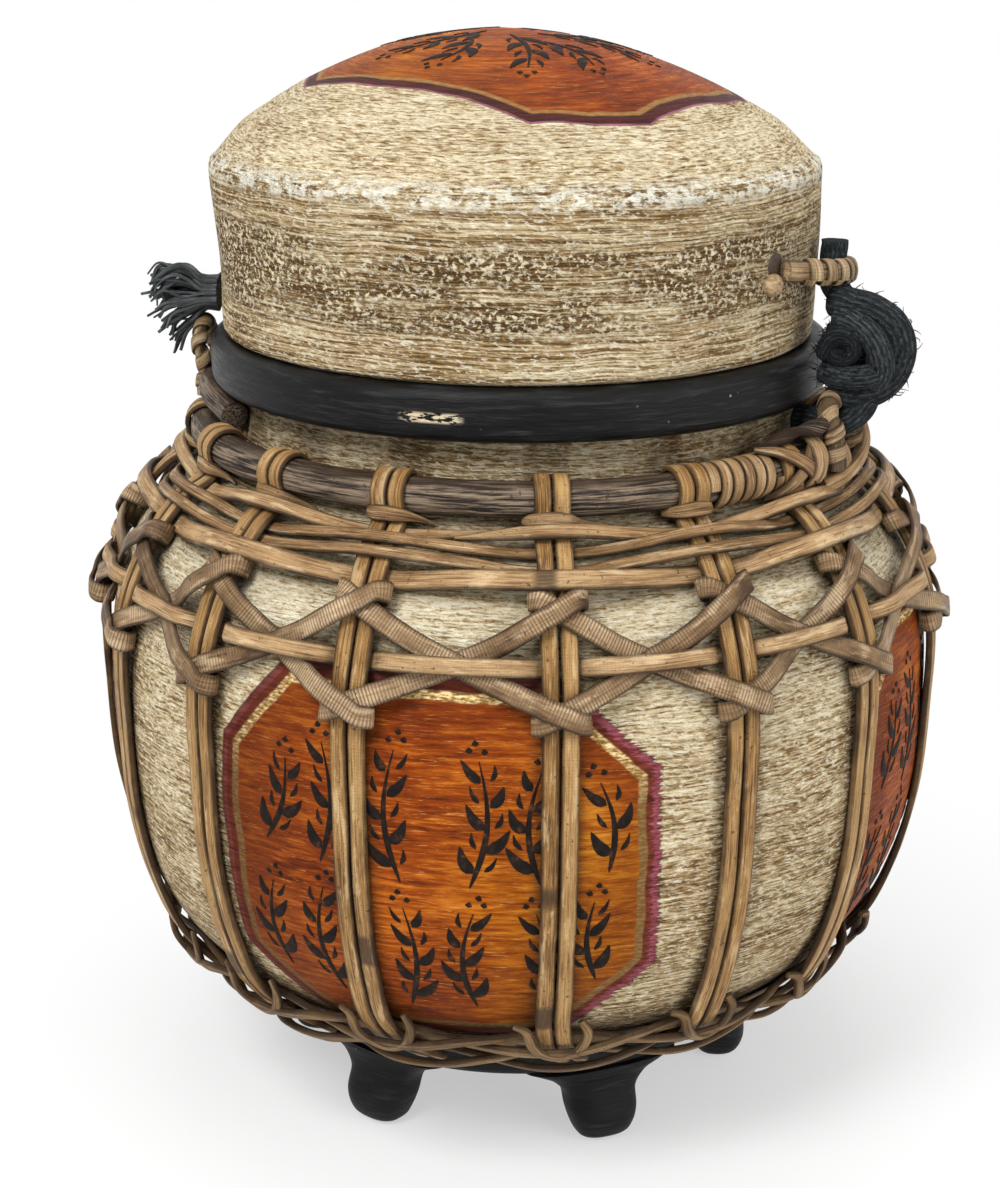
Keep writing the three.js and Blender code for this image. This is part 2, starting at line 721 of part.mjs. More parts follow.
// Frayed end of the left cord, as a flat-sided brush that opens outward
function tassel() {
  const { angle: here, radius, height } = cordPlace(leftCord[leftCord.length - 1]);
  const rings = tasselShares.map((share, k) => {
    const centre = polar(here, radius + seatGap + tasselLength * share, height - tasselDrop * share);
    const tall = tasselHalfHeight * tasselHeightShares[k];
    const wide = Math.min(tall, tasselHalfWidth);
    const list = [];
    for (let j = 0; j < cordSides; j += 1) {
      const roll = turn * j / cordSides;
      list.push(centre.clone()
        .addScaledVector(around(here), wide * Math.cos(roll))
        .addScaledVector(up, tall * Math.sin(roll)));
    }
    return list;
  });
  return skin(rings, false);
}

const paint = (color, roughness) => new THREE.MeshStandardMaterial({ color, roughness, metalness: 0 });
const looks = {
  wash: paint(0xb09f7c, 0.7),
  black: paint(0x17181a, 0.45),
  cane: paint(0xb08d5a, 0.6),
  caneDark: paint(0x8c6d42, 0.65),
  hoop: paint(0x3d3833, 0.6),
  cord: paint(0x16181b, 0.95),
};

const pot = new THREE.Group();

function put(name, geometry, look) {
  const mesh = new THREE.Mesh(geometry, look.clone());
  mesh.name = name;
  pot.add(mesh);
}

put('pot_shell', potShell(), looks.wash);
put('rim_ring', rimRing(), looks.black);
put('stand_plate', standPlate(), looks.black);
for (let i = 0; i < footCount; i += 1) {
  put(`foot_${i + 1}`, foot(footTurn + turn * i / footCount), looks.black);
}
put('neck_hoop', neckHoop(), looks.hoop);
put('hoop_winding', hoopWinding(), looks.cane);
uprightRadians.forEach((angle, k) => {
  put(`upright_${String(k + 1).padStart(2, '0')}`, uprightPair(angle), looks.cane);
});
put('shoulder_hoop_1', spiralHoop(shoulderHoopShares[0], shoulderHoopWidths[0], 1), looks.cane);
put('shoulder_hoop_2', wovenHoop(shoulderHoopShares[1], shoulderHoopWidths[1], 0), looks.cane);
put('shoulder_hoop_3', wovenHoop(shoulderHoopShares[2], shoulderHoopWidths[2], 1), looks.cane);
put('belt_hoop', beltHoop(), looks.cane);
put('zigzag_a', zigzag(0, 0), looks.caneDark);
put('zigzag_b', zigzag(1, 1), looks.caneDark);
bandShares.forEach((share, row) => {
  put(`base_strand_${2 * row + 1}`, twinedStrand(row, 0), looks.caneDark);
  put(`base_strand_${2 * row + 2}`, twinedStrand(row, 1), looks.caneDark);
});
put('bail_right', bail(0), looks.cane);
put('bail_left', bail(1), looks.cane);
const knotGapShare = seatGap / cordCurve(rightCord).getLength();
put('tie_right', rightTie(0, knotFromShare - knotGapShare), looks.cord);
put('tie_right_top', rightTie(knotToShare + knotGapShare, 1), looks.cord);
put('knot_right', rightKnot(), looks.cord);
put('tie_left', leftTie(), looks.cord);
put('tassel_left', tassel(), looks.cord);
put('lid_shell', lidShell(), looks.wash);
put('lid_loop_right', lidLoop(0), looks.cane);
put('lid_loop_left', lidLoop(1), looks.cane);

export default pot;
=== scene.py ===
"""A lidded rice pot in a woven cane cage, with its painted, lacquered, cane and cotton finishes."""

import math

import bmesh
import bpy
import numpy as np
from mathutils import Matrix, Vector, noise


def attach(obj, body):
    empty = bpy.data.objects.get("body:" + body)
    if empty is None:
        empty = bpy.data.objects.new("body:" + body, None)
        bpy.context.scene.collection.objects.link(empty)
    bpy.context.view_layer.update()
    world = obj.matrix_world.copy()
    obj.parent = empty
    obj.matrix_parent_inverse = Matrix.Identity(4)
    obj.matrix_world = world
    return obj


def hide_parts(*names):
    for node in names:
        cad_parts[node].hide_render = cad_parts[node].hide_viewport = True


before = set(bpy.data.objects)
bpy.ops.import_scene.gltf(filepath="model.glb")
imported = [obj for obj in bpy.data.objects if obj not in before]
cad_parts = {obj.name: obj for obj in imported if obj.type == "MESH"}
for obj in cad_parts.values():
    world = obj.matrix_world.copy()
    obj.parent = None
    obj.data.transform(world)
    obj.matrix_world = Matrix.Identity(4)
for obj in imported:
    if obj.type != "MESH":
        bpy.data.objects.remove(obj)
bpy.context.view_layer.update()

MM = 0.001
TURN = 2 * math.pi
UP = np.array([0, 0, 1.0])

# Sizes in millimetres

BELLY = 144.6
BODY_BASE = 45.0
BODY_HEIGHT = 212.0
NECK_TOP = BODY_BASE + BODY_HEIGHT
SEAT = 0.3
RADIUS_SHARES = [
    0.6086, 0.6777, 0.7469, 0.8077, 0.8617, 0.9073, 0.9516, 0.9834, 0.9986, 1, 0.9882,
    0.9557, 0.9142, 0.8665, 0.8264, 0.7856, 0.7227, 0.6943, 0.6805, 0.6729, 0.6708,
]
HEIGHT_SHARES = [
    0, 0.0142, 0.0425, 0.0802, 0.1226, 0.1698, 0.2358, 0.3255, 0.4245, 0.5425, 0.6368,
    0.717, 0.7736, 0.816, 0.8443, 0.867, 0.8962, 0.9104, 0.9245, 0.9528, 1,
]
UPRIGHT_DEGREES = [
    -43.3, -20.6, 5, 28, 49.5, 74.5, 97, 119, 141, 163, 185, 207, 229, 251.5, 274, 295.5,
]
UPRIGHTS = [math.radians(a) for a in UPRIGHT_DEGREES]
COUNT = len(UPRIGHTS)
STAKE_WIDTH, STAKE_THICK, STAKE_SPACING = 5.4, 2.6, 5.9
HOOP_GAP, HOOP_THICK, LIFT = 0.5, 2.2, 0.5
STAND_OFF = HOOP_GAP + HOOP_THICK + 0.4
FRONT = STAND_OFF + STAKE_THICK
INSIDE = HOOP_GAP + HOOP_THICK / 2
OUTSIDE = FRONT + LIFT + 2 * SEAT + HOOP_THICK / 2
BETWEEN = (INSIDE + OUTSIDE) / 2
PAIR = (STAKE_SPACING + STAKE_WIDTH) / 2
PLATEAU = PAIR + 0.75
NECK_HOOP_R, NECK_HOOP_Z, NECK_HOOP_TUBE = 108.8, 241.3, 5.7
PLATE_THICK = 16.7
LID_BOTTOM, LID_CREASE, LID_DOME, LID_LEAN = 274.6, 331.6, 43.0, 7.0
LID_BOTTOM_R, LID_CREASE_R, LID_INNER_R = 101.8, 105.3, 95.8
LID_SIDE = LID_CREASE - LID_BOTTOM
LIP_R, LIP_TOP, POT_WALL = 92.3, 284.0, 5.0
CORD_RADIUS = 4.6
PANEL_TURN = -11.0
PANEL_CORNERS = [
    (-50, 194), (42, 194), (72, 165), (74, 97), (42, 64), (-48, 62), (-74, 90), (-74, 166),
]
LID_PANEL_CORNERS = [
    (-67, -22), (-42, -49), (5.8, -80), (26, -77), (43, -69.5), (68, -33),
    (79, -8), (72, 36), (36, 66), (-20, 72), (-70, 30),
]


def height_of(share):
    return BODY_BASE + BODY_HEIGHT * share


def run_along(line):
    """Distance travelled at each point of a line."""
    return np.concatenate([[0], np.cumsum(np.linalg.norm(np.diff(line, axis=0), axis=1))])


def smooth(rows, step):
    """A smooth run of rows through the given ones, about one each step of the first three columns."""
    rows = np.asarray(rows, float)
    gaps = np.maximum(np.linalg.norm(np.diff(rows[:, :3], axis=0), axis=1), 1e-4)
    slope = np.diff(rows, axis=0) / gaps[:, None]
    inner = slope[:-1] * gaps[1:, None] + slope[1:] * gaps[:-1, None]
    inner = inner / (gaps[1:] + gaps[:-1])[:, None]
    tangent = np.vstack([slope[:1], inner, slope[-1:]])
    out = []
    for i, gap in enumerate(gaps):
        s = np.linspace(0, 1, max(2, int(math.ceil(gap / step))), endpoint=False)[:, None]
        out.append(
            (2 * s**3 - 3 * s**2 + 1) * rows[i]
            + (s**3 - 2 * s**2 + s) * gap * tangent[i]
            + (3 * s**2 - 2 * s**3) * rows[i + 1]
            + (s**3 - s**2) * gap * tangent[i + 1]
        )
    out.append(rows[-1:])
    return np.vstack(out)


POT_LINE = smooth([[height_of(h), BELLY * r, 0] for h, r in zip(HEIGHT_SHARES, RADIUS_SHARES)], 1.0)


def pot_radius(height):
    return np.interp(height, POT_LINE[:, 0], POT_LINE[:, 1])


def outward(angle):
    angle = np.asarray(angle, float)
    return np.stack([np.sin(angle), -np.cos(angle), np.zeros_like(angle)], -1)


def sideways(angle):
    angle = np.asarray(angle, float)
    return np.stack([np.cos(angle), np.sin(angle), np.zeros_like(angle)], -1)


def polar(angle, radius, height):
    up = np.zeros(np.broadcast(angle, height).shape + (3,))
    up[..., 2] = height
    return outward(angle) * np.asarray(radius, float)[..., None] + up


def polar_line(rows, step):
    """A smooth line through rows of degrees, radius and height."""
    return smooth([polar(math.radians(a), r, z) for a, r, z in rows], step)


def unit(v):
    return v / np.maximum(np.linalg.norm(v, axis=-1, keepdims=True), 1e-9)


def on_pot(angle, height, off):
    """Point on the pot at a stand-off, with the outward and sideways directions."""
    slope = (pot_radius(height + 2) - pot_radius(height - 2)) / 4
    normal = outward(angle)
    normal[..., 2] -= slope
    normal /= np.linalg.norm(normal, axis=-1, keepdims=True)
    point = polar(angle, pot_radius(height), height) + normal * np.asarray(off)[..., None]
    return point, normal, sideways(angle)


# Node layouts


def act(operation, turned_round=False):
    """A sum between an output and another output or a plain number."""
    def apply(self, other):
        pair = (other, self) if turned_round else (self, other)
        return self.board.math(operation, *pair)
    return apply


class Value:
    """An output in a node layout that takes plain sums."""

    def __init__(self, board, socket):
        self.board, self.socket = board, socket

    __add__, __radd__ = act("ADD"), act("ADD", True)
    __sub__, __rsub__ = act("SUBTRACT"), act("SUBTRACT", True)
    __mul__, __rmul__ = act("MULTIPLY"), act("MULTIPLY", True)


class Board:
    """Short-hand for laying out a node tree."""

    def __init__(self, tree):
        self.tree = tree

    def plug(self, value, socket):
        if isinstance(value, Value):
            self.tree.links.new(value.socket, socket)
        else:
            socket.default_value = value

    def add(self, kind, values=None, **settings):
        made = self.tree.nodes.new(kind)
        for key, value in settings.items():
            setattr(made, key, value)
        for key, value in (values or {}).items():
            self.plug(value, made.inputs[key])
        return made

    def out(self, kind, values=None, output=0, **settings):
        return Value(self, self.add(kind, values, **settings).outputs[output])

    def math(self, operation, *values):
        return self.out("ShaderNodeMath", dict(enumerate(values)), operation=operation)

    def place(self):
        return self.out("ShaderNodeTexCoord", output="Object")

    def stored(self, name, output="Fac"):
        return self.out("ShaderNodeAttribute", output=output, attribute_name=name)

    def split(self, vector):
        made = self.add("ShaderNodeSeparateXYZ", {0: vector})
        return [Value(self, socket) for socket in made.outputs]

    def join(self, x, y, z):
        return self.out("ShaderNodeCombineXYZ", {0: x, 1: y, 2: z})

    def noise(self, vector, scale, detail=3.0, rough=0.55, twist=0.0):
        return self.out("ShaderNodeTexNoise", {
            "Vector": vector, "Scale": scale, "Detail": detail, "Roughness": rough, "Distortion": twist,
        })

    def spots(self, vector, scale):
        return self.out("ShaderNodeTexVoronoi", {"Vector": vector, "Scale": scale}, "Distance")

    def ease(self, value, low, high, to_low=0.0, to_high=1.0):
        given = dict(enumerate((value, low, high, to_low, to_high)))
        return self.out("ShaderNodeMapRange", given, interpolation_type="SMOOTHSTEP")

    def ramp(self, value, *stops):
        made = self.add("ShaderNodeValToRGB", {0: value})
        band = made.color_ramp.elements
        while len(band) < len(stops):
            band.new(0.5)
        for element, (place, color) in zip(band, stops):
            element.position = place
            element.color = tint(color)
        return Value(self, made.outputs[0])

    def mix(self, share, a, b):
        a, b = (c if isinstance(c, Value) else tint(c) for c in (a, b))
        return self.out("ShaderNodeMix", {0: share, 6: a, 7: b}, 2, data_type="RGBA")

    def blend(self, share, a, b):
        return self.out("ShaderNodeMix", {0: share, 2: a, 3: b}, data_type="FLOAT")

    def outline(self, u, v, corners):
        """Distance in mm to a convex outline, below zero inside."""
        ends = list(zip(corners, corners[1:] + corners[:1]))
        turn = math.copysign(1, sum(a[0] * c[1] - c[0] * a[1] for a, c in ends))
        result = None
        for (u0, v0), (u1, v1) in ends:
            size = math.hypot(u1 - u0, v1 - v0)
            nu, nv = turn * (v1 - v0) / size, -turn * (u1 - u0) / size
            side = u * nu + (v * nv - (u0 * nu + v0 * nv))
            result = side if result is None else self.math("MAXIMUM", result, side)
        return result

    def bump(self, height, distance, strength=1.0):
        return self.out("ShaderNodeBump", {"Height": height, "Distance": distance, "Strength": strength})


def tint(color):
    """A paint colour written in the usual 0 to 255."""
    def linear(c):
        c /= 255
        return c / 12.92 if c <= 0.04045 else ((c + 0.055) / 1.055) ** 2.4
    return (*map(linear, color), 1.0)


def new_look(name, roughness, gloss=0.5):
    look = bpy.data.materials.new(name)
    look.use_nodes = True
    shader = look.node_tree.nodes["Principled BSDF"]
    shader.inputs["Roughness"].default_value = roughness
    shader.inputs["Specular IOR Level"].default_value = gloss
    return look, Board(look.node_tree), shader


def wire(board, shader, color, roughness, normal):
    for key, value in (("Base Color", color), ("Roughness", roughness), ("Normal", normal)):
        if value is not None:
            board.plug(value, shader.inputs[key])


# Finishes


def wash_color(b, place, level, brown, lines):
    """Cream brushed over brown: lines is the share of long thin lines among short flecks and pits."""
    x, y, _ = b.split(place)
    level = (b.noise(place, 16) - 0.5) * 0.006 + level
    streak = b.noise(b.join(x, y, level * 40.0), 34, 4.0, 0.62, 0.2)
    fine = b.noise(b.join(x, y, level * 6.0), 210, 5.0, 0.68)
    cloud = b.noise(b.join(x, y, level * 3.0), 26, 3.0, 0.6)
    fleck = b.noise(b.join(x + level * 0.8, y, level * 2.6), 420, 3.0, 0.62, 0.6)
    base = fine + (streak - fine) * lines + (cloud - 0.5) * 0.18 - brown * 0.11
    color = b.ramp(base, (0.34, (92, 67, 34)), (0.415, (142, 114, 74)), (0.475, (196, 172, 130)),
                   (0.54, (228, 211, 174)), (0.64, (252, 243, 216)))
    color = b.mix(b.ease(fleck, 0.55, 0.62) * 0.6, color, (255, 249, 228))
    color = b.mix(b.ease(fleck, 0.43, 0.35) * 0.6, color, (104, 74, 38))
    return color, streak * 0.8 + fine * 0.9 + fleck, fine, streak


def panel_paint(b, place, level, distance, warm, edge):
    """Lacquered panel. distance is in mm, below zero inside; edge holds its lines' widths and tints."""
    x, y, _ = b.split(place)
    brush = b.noise(b.join(x, y, level * 9.0), 75, 5.0, 0.68, 0.3)
    scratch = b.noise(b.join(x, y, level * 14.0), 130, 3.0, 0.7, 0.5)
    glitter = b.noise(b.join(x, y, level * 3.0), 420, 2.0, 0.6)
    tone = brush * 0.6 + b.noise(place, 30, 3.0, 0.6) * 0.4
    red = b.ramp(tone, (0.35, (58, 20, 2)), (0.44, (108, 42, 4)), (0.52, (140, 61, 5)), (0.62, (180, 98, 24)))
    gold = b.ramp(tone, (0.35, (78, 32, 0)), (0.44, (124, 60, 2)), (0.53, (154, 86, 5)),
                  (0.64, (194, 130, 32)))
    color = b.mix(warm, red, gold)
    color = b.mix(b.ease(scratch, 0.59, 0.68) * 0.6, color, (214, 146, 70))
    color = b.mix(b.ease(scratch, 0.36, 0.28) * 0.5, color, (84, 32, 8))
    color = b.mix(b.ease(distance, -30.0, -8.0, 0.0, 0.35), color, (92, 36, 8))
    leaf = b.ramp(glitter, (0.38, (124, 94, 50)), (0.50, (190, 156, 98)), (0.62, (246, 220, 164)))
    line, dark, rim = edge["line"], edge["dark"], edge["rim"]
    color = b.mix(b.ease(distance, -line - 0.9, -line), color, b.mix(edge["shine"], edge["olive"], leaf))
    band = b.ramp(brush, (0.36, edge["deep"]), (0.62, edge["plum"]))
    color = b.mix(b.ease(distance, -dark - 0.5, -dark + 0.4), color, band)
    band = b.ramp(brush, (0.36, edge["wine"]), (0.62, edge["rose"]))
    color = b.mix(b.ease(distance, -rim - 0.3, -rim + 0.3), color, band)
    return color, brush * 0.4 + glitter * 0.3


def pot_look():
    """Cream wash with four orange lacquered panels, painted shade beside the canes and plain dark inside."""
    look, b, shader = new_look("cream_wash_with_panels", 0.7, 0.08)
    place, level, painted_shade_and_inside = b.place(), b.stored("level"), b.stored("painted_shade_and_inside")
    x, y, z = b.split(place)
    tall = z * 1000.0
    upper = b.ease(tall, 196.0, 206.0) * b.ease(tall, 234.0, 228.0)
    brown = painted_shade_and_inside * 0.6 + b.ease(tall, 200.0, 120.0, 0.0, 0.42) - upper * 0.45
    wash, relief, fine, streak = wash_color(b, place, level, brown, 0.42)
    angle = b.math("DEGREES", b.math("ARCTAN2", x, y * -1.0))
    across = b.math("WRAP", angle - PANEL_TURN, 45.0, -45.0)
    distance = b.outline(across * math.radians(BELLY), tall, PANEL_CORNERS)
    distance = distance + (b.noise(place, 45, 2.0) - 0.5) * 3.0
    right = b.ease(across, 12.0, 25.0)
    ragged = distance + (streak - 0.5) * 7.0 * right
    warm = b.ease(across, -4.0, 20.0) * b.ease(tall, 185.0, 120.0)
    paint, paint_relief = panel_paint(b, place, level, distance, warm, {
        "line": 6.9, "dark": 4.6, "rim": 2.2, "shine": b.ease(tall, 150.0, 178.0, 0.1, 1.0),
        "olive": (104, 72, 34), "deep": (66, 22, 16), "plum": (112, 50, 32),
        "wine": (80, 30, 26), "rose": (132, 72, 66),
    })
    shaded = b.ease(across, -6.0, -26.0, 0.0, 0.42) * b.ease(fine, 0.35, 0.6, 1.0, 0.6)
    paint = b.mix(shaded, paint, (52, 16, 4))
    fringe = b.ramp(fine, (0.4, (92, 34, 40)), (0.6, (148, 78, 90)))
    paint = b.mix(b.ease(ragged, -2.9, -2.3) * right, paint, fringe)
    mask = b.ease(ragged, 0.35, -0.35) * b.ease(painted_shade_and_inside, 1.0, 1.25, 1.0, 0.0)
    # painted shade: the surface goes dark brown beside the canes and under the neck hoop, and plain dark
    # inside
    color = b.mix(painted_shade_and_inside * 0.6, b.mix(mask, wash, paint), (58, 41, 24))
    height = b.blend(mask, relief, paint_relief)
    wire(b, shader, color, b.ease(mask, 0.0, 1.0, 0.76, 0.5), b.bump(height, 0.0016))
    return look


def lid_look():
    """Cream wash with a worn band, a pale crease that is partly worn bare and partly a painted highlight, and
    one lacquered panel on the dome.
    """
    look, b, shader = new_look("cream_wash_lid", 0.7, 0.08)
    place, level = b.place(), b.stored("level")
    x, y, z = b.split(place)
    tall = z * 1000.0
    crease = b.ease(tall, 326.5, 330.8) * b.ease(tall, 337.2, 333.2)
    band = b.ease(tall, 287.0, 295.0) * b.ease(tall, 321.0, 313.0)
    dome = b.ease(tall, 331.0, 337.0)
    patch = band * b.ease(b.noise(b.join(x, y, level * 4.5), 17, 4.0, 0.65), 0.36, 0.52)
    brown = (1.0 - dome) * 0.42 + patch * 0.5
    wash, relief, _, _ = wash_color(b, place, level, brown, b.ease(dome, 0.0, 1.0, 0.72, 0.3))
    lumps = b.noise(b.join(x, y, level * 1.2), 620, 2.0, 0.5, 0.3)
    flecks = patch * b.ease(lumps, 0.54, 0.59)
    pits = b.math("MAXIMUM", patch, crease * 0.4) * b.ease(lumps, 0.45, 0.39)
    wash = b.mix(flecks * 0.85, wash, (252, 237, 202))
    wash = b.mix(pits * 0.75, wash, (96, 66, 33))
    # pale patches along the crease: partly wear, partly a painted highlight on its rounded edge
    wear_and_highlight = b.noise(b.join(x, y, level * 1.6), 190, 4.0, 0.72)
    wash = b.mix(crease * b.ease(wear_and_highlight, 0.45, 0.56) * 0.8, wash, (255, 251, 234))
    nicks = crease * b.ease(b.spots(place, 62), 0.085, 0.05)
    wash = b.mix(nicks, wash, (58, 36, 22))
    lean = (tall - LID_CREASE) * (LID_LEAN / LID_DOME)
    distance = b.outline(x * 1000.0 + lean, y * 1000.0, LID_PANEL_CORNERS)
    distance = distance + (b.noise(place, 40, 2.0) - 0.5) * 3.5
    paint, paint_relief = panel_paint(b, place, level, distance, b.ease(x, 0.02, -0.05) * 0.6, {
        "line": 5.9, "dark": 4.5, "rim": 0.7, "shine": 0.1, "olive": (128, 88, 44),
        "deep": (40, 16, 14), "plum": (74, 32, 26), "wine": (112, 50, 66), "rose": (158, 98, 116),
    })
    mask = b.ease(distance, 0.3, -0.3) * b.ease(tall, 334.0, 336.0)
    # the lid's inner face is painted plain dark
    color = b.mix(b.ease(b.stored("painted_shade_and_inside"), 0.4, 0.6), b.mix(mask, wash, paint), (46, 30, 20))
    bumpy = relief + flecks * 2.2 - (nicks * 2.0 + pits * 1.6)
    height = b.blend(mask, bumpy, paint_relief)
    wire(b, shader, color, b.ease(mask, 0.0, 1.0, 0.76, 0.5), b.bump(height, 0.0016))
    return look


def black_look(name, shade, roughness, gloss, chip=False):
    """Black lacquer over turned or carved wood, with fine grain, dust specks and rubbed edges."""
    look, b, shader = new_look(name, roughness, gloss)
    place = b.place()
    x, y, z = b.split(place)
    streak = b.noise(b.join(x, y, z * 12.0), 60, 5.0, 0.66, 0.2)
    cloud = b.noise(place, 30)
    worn = (shade + 26, shade + 27, shade + 29)
    color = b.ramp(streak, (0.3, [shade - 12] * 3), (0.52, [shade] * 3), (0.68, worn))
    dust = b.ease(b.spots(place, 120), 0.07, 0.03) * b.ease(cloud, 0.5, 0.62)
    color = b.mix(dust * 0.7, color, (150, 142, 126))
    edge = b.out("ShaderNodeNewGeometry", output="Pointiness")
    rubbed = b.ease(edge, 0.54, 0.62) * b.ease(cloud, 0.42, 0.6)
    color = b.mix(rubbed * 0.4, color, (96, 92, 84))
    if chip:
        wide = b.ease(x, -0.038, -0.034) * b.ease(x, -0.0165, -0.0195)
        tall = b.ease(z, 0.2632, 0.2642) * b.ease(z, 0.2672, 0.2662)
        flaked = b.ease(b.noise(b.join(x, y, z * 4.0), 210, 4.0, 0.7), 0.46, 0.5)
        bare = b.ease(y, -0.04, -0.06) * flaked * (wide * tall)
        color = b.mix(bare, color, (196, 180, 150))
    rough = b.ease(streak, 0.35, 0.7, roughness - 0.08, roughness + 0.12)
    wire(b, shader, color, rough, b.bump(streak, 0.0006, 0.8))
    return look


def cane_look(name, dark, middle, light, pale, ribs=0.05, fibre=1.0, roughness=0.5, lines=0.5):
    """Split rattan: fibres along the strip, fine rings across it, stained edges and darker joints."""
    look, b, shader = new_look(name, roughness, 0.22)
    along, across, off = b.split(b.stored("strand", "Vector"))
    tone = b.stored("tone")
    shift = tone * 3.7
    far = along + shift
    fibres = b.noise(b.join(far * 0.022, across * 0.0024, off * 0.0016), 2600 * fibre, 4.0, 0.66)
    patch = b.noise(b.join(far, across * 0.004, shift), 45, 4.0, 0.6)
    ring = b.noise(b.join(far, across * 0.0002, shift), 1500, 2.0, 0.5)
    comb = b.math("SINE", far * 5900.0 + ring * 3.0)
    rib = b.ease(comb, 0.0, 0.95) * b.ease(patch, 0.38, 0.60, 0.2, 1.0)
    value = fibres * (lines + 0.08) + patch * (0.87 - lines) + (tone - 0.5) * 0.08
    color = b.ramp(value, (0.345, dark), (0.44, middle), (0.575, light))
    blotch = b.noise(b.join(far * 0.3, across * 0.0045, shift), 190, 4.0, 0.66)
    color = b.mix(b.ease(blotch, 0.55, 0.70, 0.0, 0.5), color, dark)
    color = b.mix(b.ease(blotch, 0.47, 0.36, 0.0, 0.42), color, pale)
    stain = b.ease(b.math("ABSOLUTE", across), 0.58, 0.94) * b.ease(patch, 0.35, 0.65, 1.0, 0.7)
    color = b.mix(stain * 0.92, color, (44, 28, 14))
    # painted shade on the back face of each strip (its negative thickness side), which on strips laid on the
    # pot faces the pot
    color = b.mix(b.ease(off, 0.0, -0.7) * 0.75, color, (44, 29, 16))
    color = b.mix(rib * ribs, color, (70, 49, 28))
    joint = b.ease(b.noise(b.join(far, 0.0, shift), 30, 0.0), 0.75, 0.775) * b.ease(fibres, 0.3, 0.55)
    color = b.mix(joint * 0.85, color, (44, 30, 20))
    specks = b.ease(b.noise(b.join(far, across * 0.0027, shift), 620, 2.0), 0.66, 0.73)
    color = b.mix(specks * 0.75, color, (56, 38, 22))
    relief = fibres * (1.8 * lines) - rib * (1.3 * ribs + 0.04)
    wire(b, shader, color, b.ease(patch, 0.3, 0.7, roughness - 0.1, roughness + 0.12), b.bump(relief, 0.0007))
    return look


def cord_look(name, shade, plies, lay_rate):
    """Soft black cotton: fine yarns laid along the cord."""
    look, b, shader = new_look(name, 0.95, 0.13)
    along, across, off = b.split(b.stored("strand", "Vector"))
    fluff = b.noise(b.join(along * 0.3, across * 0.004, off * 0.004), 1900, 4.0, 0.65)
    lay = b.math("ARCTAN2", across, off) * plies + along * lay_rate
    yarn = b.math("SINE", lay + fluff * 7.0) * 0.5 + 0.5
    value = yarn * 0.13 + fluff * 0.87 + (b.stored("tone") - 0.5) * 0.25
    color = b.ramp(value, (0.30, (shade - 18, shade - 15, shade - 13)), (0.50, (shade, shade + 4, shade + 6)),
                   (0.72, (shade + 42, shade + 46, shade + 48)))
    wire(b, shader, color, None, b.bump(value, 0.0012))
    return look


def plain_wood_look(name, dark, light, scale):
    """Bare wood whose grain runs from left to right."""
    look, b, shader = new_look(name, 0.6)
    x, y, z = b.split(b.place())
    grain = b.noise(b.join(x, y * 5.0, z * 5.0), scale, 4.0, 0.6)
    wire(b, shader, b.ramp(grain, (0.35, dark), (0.65, light)), None, b.bump(grain, 0.0004, 0.6))
    return look


def ink_look():
    """Black brush paint, a little thin where the brush lifted."""
    look, b, shader = new_look("brush_black", 0.6, 0.08)
    thin = b.noise(b.place(), 320, 3.0, 0.6)
    color = b.ramp(thin, (0.35, (20, 16, 14)), (0.6, (34, 26, 22)), (0.74, (84, 50, 26)))
    wire(b, shader, color, None, b.bump(thin, 0.0003, 0.5))
    return look


def seen(b):
    """1 where a thing is looked at, straight or in a reflection, and 0 where it lights the pot."""
    kinds = ("Camera", "Glossy", "Transmission")
    rays = [b.out("ShaderNodeLightPath", output=f"Is {kind} Ray") for kind in kinds]
    return b.math("MAXIMUM", rays[0], b.math("MAXIMUM", rays[1], rays[2]))


def whiten(b, share, first, last):
    """Mix a surface or background with plain white and lead it to the output."""
    white_kind = "Emission" if last == "OUTPUT_MATERIAL" else "Background"
    white = b.out("ShaderNode" + white_kind, {"Color": (1, 1, 1, 1), "Strength": 1.0})
    both = b.out("ShaderNodeMixShader", {0: share, 1: Value(b, first), 2: white})
    out = next(n for n in b.tree.nodes if n.type == last)
    b.plug(both, out.inputs["Surface"])


def floor_look():
    """Pale floor that keeps a soft shadow near the feet and is plain white farther out."""
    look, b, shader = new_look("pale_floor", 0.9)
    shader.inputs["Base Color"].default_value = (0.86, 0.86, 0.86, 1)
    x, y, _ = b.split(b.place())
    away = b.math("SQRT", x * x + y * y)
    whiten(b, seen(b) * b.ease(away, 0.06, 0.34, 0.5, 1.0), shader.outputs[0], "OUTPUT_MATERIAL")
    return look


